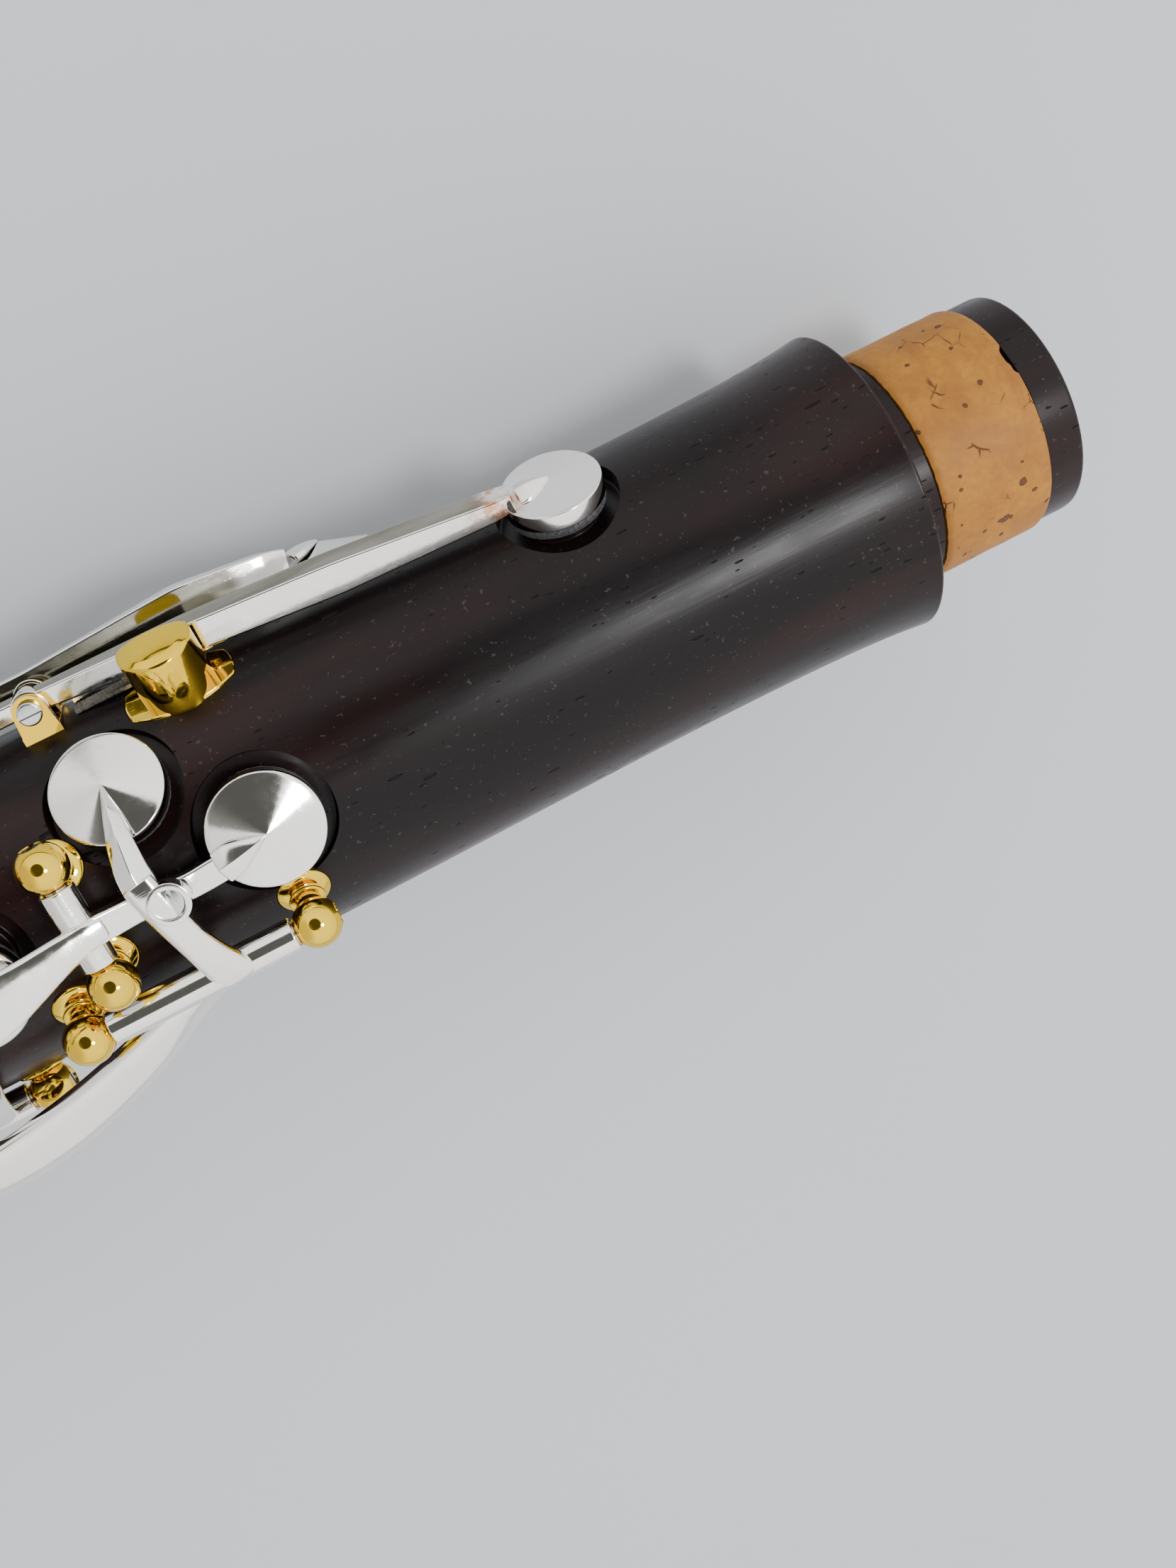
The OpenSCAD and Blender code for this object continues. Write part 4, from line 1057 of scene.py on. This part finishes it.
def make_rocking_keys():
    rocking_key("trill_key_4", "trill_4", "trill", -LANE,
                [(159.2, 61.8, 15.2, 17.0, 1.9), (157.5, 62.5, 15, 17, 2.3),
                 (143, 65.5, 14.8, 18, 2.3), (130, 70, 15.2, 18, 2.3),
                 (115.2, 77, 15.6, 17.3, 1.6), (90, 69.5, 16.2, 17.9, 1.9),
                 (52, 57.3, 17.5, 19.1, 2.3)], trill_touch(57.6, 56.6, 56), SILVER_STAINED_PAINTED_REFLECTION, 0.6)
    rocking_key("trill_key_3", "trill_3", "trill", LANE,
                [(139.6, 91, 15.9, 17.9, 1.9), (138, 88.4, 16.1, 18.5, 2.1),
                 (130, 85, 15.8, 19.4, 2.1), (115.2, 89.2, 15.6, 18.2, 1.5),
                 (90, 83.5, 16.2, 18.4, 1.9), (52, 74.4, 17.5, 19.1, 2.3)],
                trill_touch(74.6, 73.8, 73.5), SILVER_PAINTED_REFLECTION)
    rocking_key("side_key_2", "side_2", "side", -LANE,
                [(81.9, 100.4, 15.4, 17.1, 1.8), (80, 99, 15.2, 17.2, 2),
                 (51, 91.8, 15.2, 17.2, 1.6), (35.5, 89, 16.3, 17.9, 2.1)], side_touch(89, 80))
    rocking_key("side_key_1", "side_1", "side", LANE,
                [(62.9, 113.4, 15.5, 17.1, 1.8), (61, 110, 15.4, 17.2, 2),
                 (51, 104.2, 15.2, 17, 1.4), (35.5, 102, 16.3, 17.9, 2.1)],
                side_touch(102, 97.5))
    rocking_key("register_key", "register", "register", 0,
                [(161.8, 180, 17.3, 18.7, 1.9), (159, 180, 16.9, 18.4, 2.1),
                 (139, 180, 15.4, 17.4, 2.1), (119, 180, 16.5, 18.1, 2.3)],
                [(120, 180, 16.5, 17.9, 2.2), (116, 180, 16.8, 18.3, 4), (112, 180, 17, 18.4, 6.4),
                 (108, 180, 17.1, 18.4, 6.2), (104.7, 180, 17.1, 18.3, 5)])
    for vent, node in (("trill_4", "trill_pad_4"), ("trill_3", "trill_pad_3"),
                       ("side_2", "side_pad_2"), ("side_1", "side_pad_1")):
        stem, number = vent.split("_")
        make_pad(vent, node, f"{stem}_key_{number}_body")
    make_pad("register", "register_pad", "register_key_body")
    make_pad("a", "a_pad", "a_key_body")
    make_pad("ab", "ab_pad", "ab_key_body")


def make_tubes_in_wood():
    """The metal thumb-hole tube and register vent, rounded at their rims."""
    x, hole, r, top = THUMB_HOLE
    rim = [(hole, 8), (r, 8), (r, top), (hole + 0.6, top), (hole, top - 0.6)]
    thumb = make_mesh("thumb_hole_bush", [lathe(fillet(rim, [0, 0, 0.3, 0.2, 0.3], 4),
                                                on_body(x, 180), 96, True)])
    finish_piece(thumb, SILVER, "joint_body", ["thumb_hole_tube"])
    x, _, _, seat, hole = VENTS["register"]
    rim = [(hole, 8), (2.6, 8), (2.6, seat), (hole, seat)]
    vent = make_mesh("register_vent_bush", [lathe(fillet(rim, [0, 0, 0.25, 0.25], 4),
                                                  on_body(x, 180), 72, True)])
    finish_piece(vent, SILVER, "joint_body", ["register_vent_tube"])


def dress_carried_nodes():
    """Rods and flat springs keep their CAD shape and take a steel finish."""
    for name, made in frame["nodes"].items():
        if made.hide_render:
            continue
        made.data.materials.clear()
        made.data.materials.append(SPRING if "spring" in name else STEEL)
        for polygon in made.data.polygons:
            polygon.material_index = 0


# ---- stage ----

CAMERA_AT = Vector((140.78, 30.59, 134.35))
CAMERA_UP = Vector((0.45540, 0.85805, -0.23739))
CAMERA_AHEAD = Vector((0.10297, -0.31562, -0.94328))
LENS, SENSOR = 34.18, 36


def make_camera():
    data = bpy.data.cameras.new("camera")
    data.lens, data.sensor_width, data.sensor_fit = LENS, SENSOR, "AUTO"
    data.clip_start, data.clip_end = 0.005, 20
    made = bpy.data.objects.new("camera", data)
    bpy.context.scene.collection.objects.link(made)
    back = -CAMERA_AHEAD.normalized()
    right = CAMERA_UP.cross(back).normalized()
    up = back.cross(right)
    turn = Matrix((right, up, back)).transposed()
    made.matrix_world = Matrix.Translation(CAMERA_AT * MM) @ turn.to_4x4()
    bpy.context.scene.camera = made


def make_floor():
    """A wide round ground, just under its lowest point."""
    made = bmesh.new()
    bmesh.ops.create_circle(made, cap_ends=True, radius=6, segments=96)
    mesh = bpy.data.meshes.new("ground")
    made.to_mesh(mesh)
    made.free()
    ground = bpy.data.objects.new("ground", mesh)
    bpy.context.scene.collection.objects.link(ground)
    ground.location = (0.1, 0, cad_low.z - 0.0002)
    mesh.materials.append(paper())


def make_light():
    """A soft room of light: pale all round, a dark patch where someone leans over the
    camera, a dark low band on the trill side, and one lamp above."""
    world = bpy.data.worlds.new("studio")
    bpy.context.scene.world = world
    world.use_nodes = True
    tree = world.node_tree
    n = Nodes.__new__(Nodes)
    n.tree = tree
    n.where = tree.nodes.new("ShaderNodeTexCoord").outputs["Generated"]

    def toward(direction, wide, narrow):
        """1 within `narrow` degrees of a direction, 0 beyond `wide` degrees."""
        return n.fade(n.facing(n.where, Vector(direction).normalized()),
                      math.cos(math.radians(wide)), math.cos(math.radians(narrow)))

    height = n.add("SeparateXYZ", Vector=n.where).outputs["Z"]
    room = n.mix(n.fade(height, -0.1, 0.9), (0.80, 0.80, 0.78, 1), (1.0, 1.0, 1.0, 1))
    low_dark = n.maths("MULTIPLY", toward((0, 1, 0.05), 70, 40), n.fade(height, 0.09, 0.03))
    room = n.mix(low_dark, room, (0.075, 0.075, 0.055, 1))
    room = n.mix(toward((-0.15, 0.25, 0.95), 29, 25), room, (0.055, 0.055, 0.05, 1))
    sides = n.maths("MULTIPLY", toward((-1, 0, 0.2), 60, 30), 0.7)
    room = n.mix(sides, room, (0.35, 0.34, 0.32, 1))
    plain = (0.42, 0.43, 0.445, 1)
    seen = n.add("LightPath").outputs["Is Camera Ray"]
    back = tree.nodes["Background"]
    tree.links.new(n.mix(seen, room, plain), back.inputs["Color"])
    back.inputs["Strength"].default_value = 1.9

    data = bpy.data.lights.new("lamp", "AREA")
    data.shape, data.size, data.energy = "DISK", 0.2, 4.5
    made = bpy.data.objects.new("lamp", data)
    bpy.context.scene.collection.objects.link(made)
    aim = Vector((0.33, -0.06, 0.94)).normalized()
    made.matrix_world = aimed(Vector((0.14, 0, 0.01)) + aim * 0.9, aim)


make_camera()
make_floor()
make_light()
make_wood()
make_cork("barrel_tenon_cork_sheet", "barrel_tenon_cork", True)
make_cork("lower_tenon_cork_sheet", "lower_tenon_cork", False)
make_tubes_in_wood()
make_posts()
for saddle_name in SADDLES:
    make_saddle(saddle_name)
    make_hinge_screw(saddle_name)
make_guide()
make_a_key()
make_ab_key()
make_vent_key()
make_thumb_ring()
make_ring_key()
make_side_and_small_keys()
make_rocking_keys()
dress_carried_nodes()
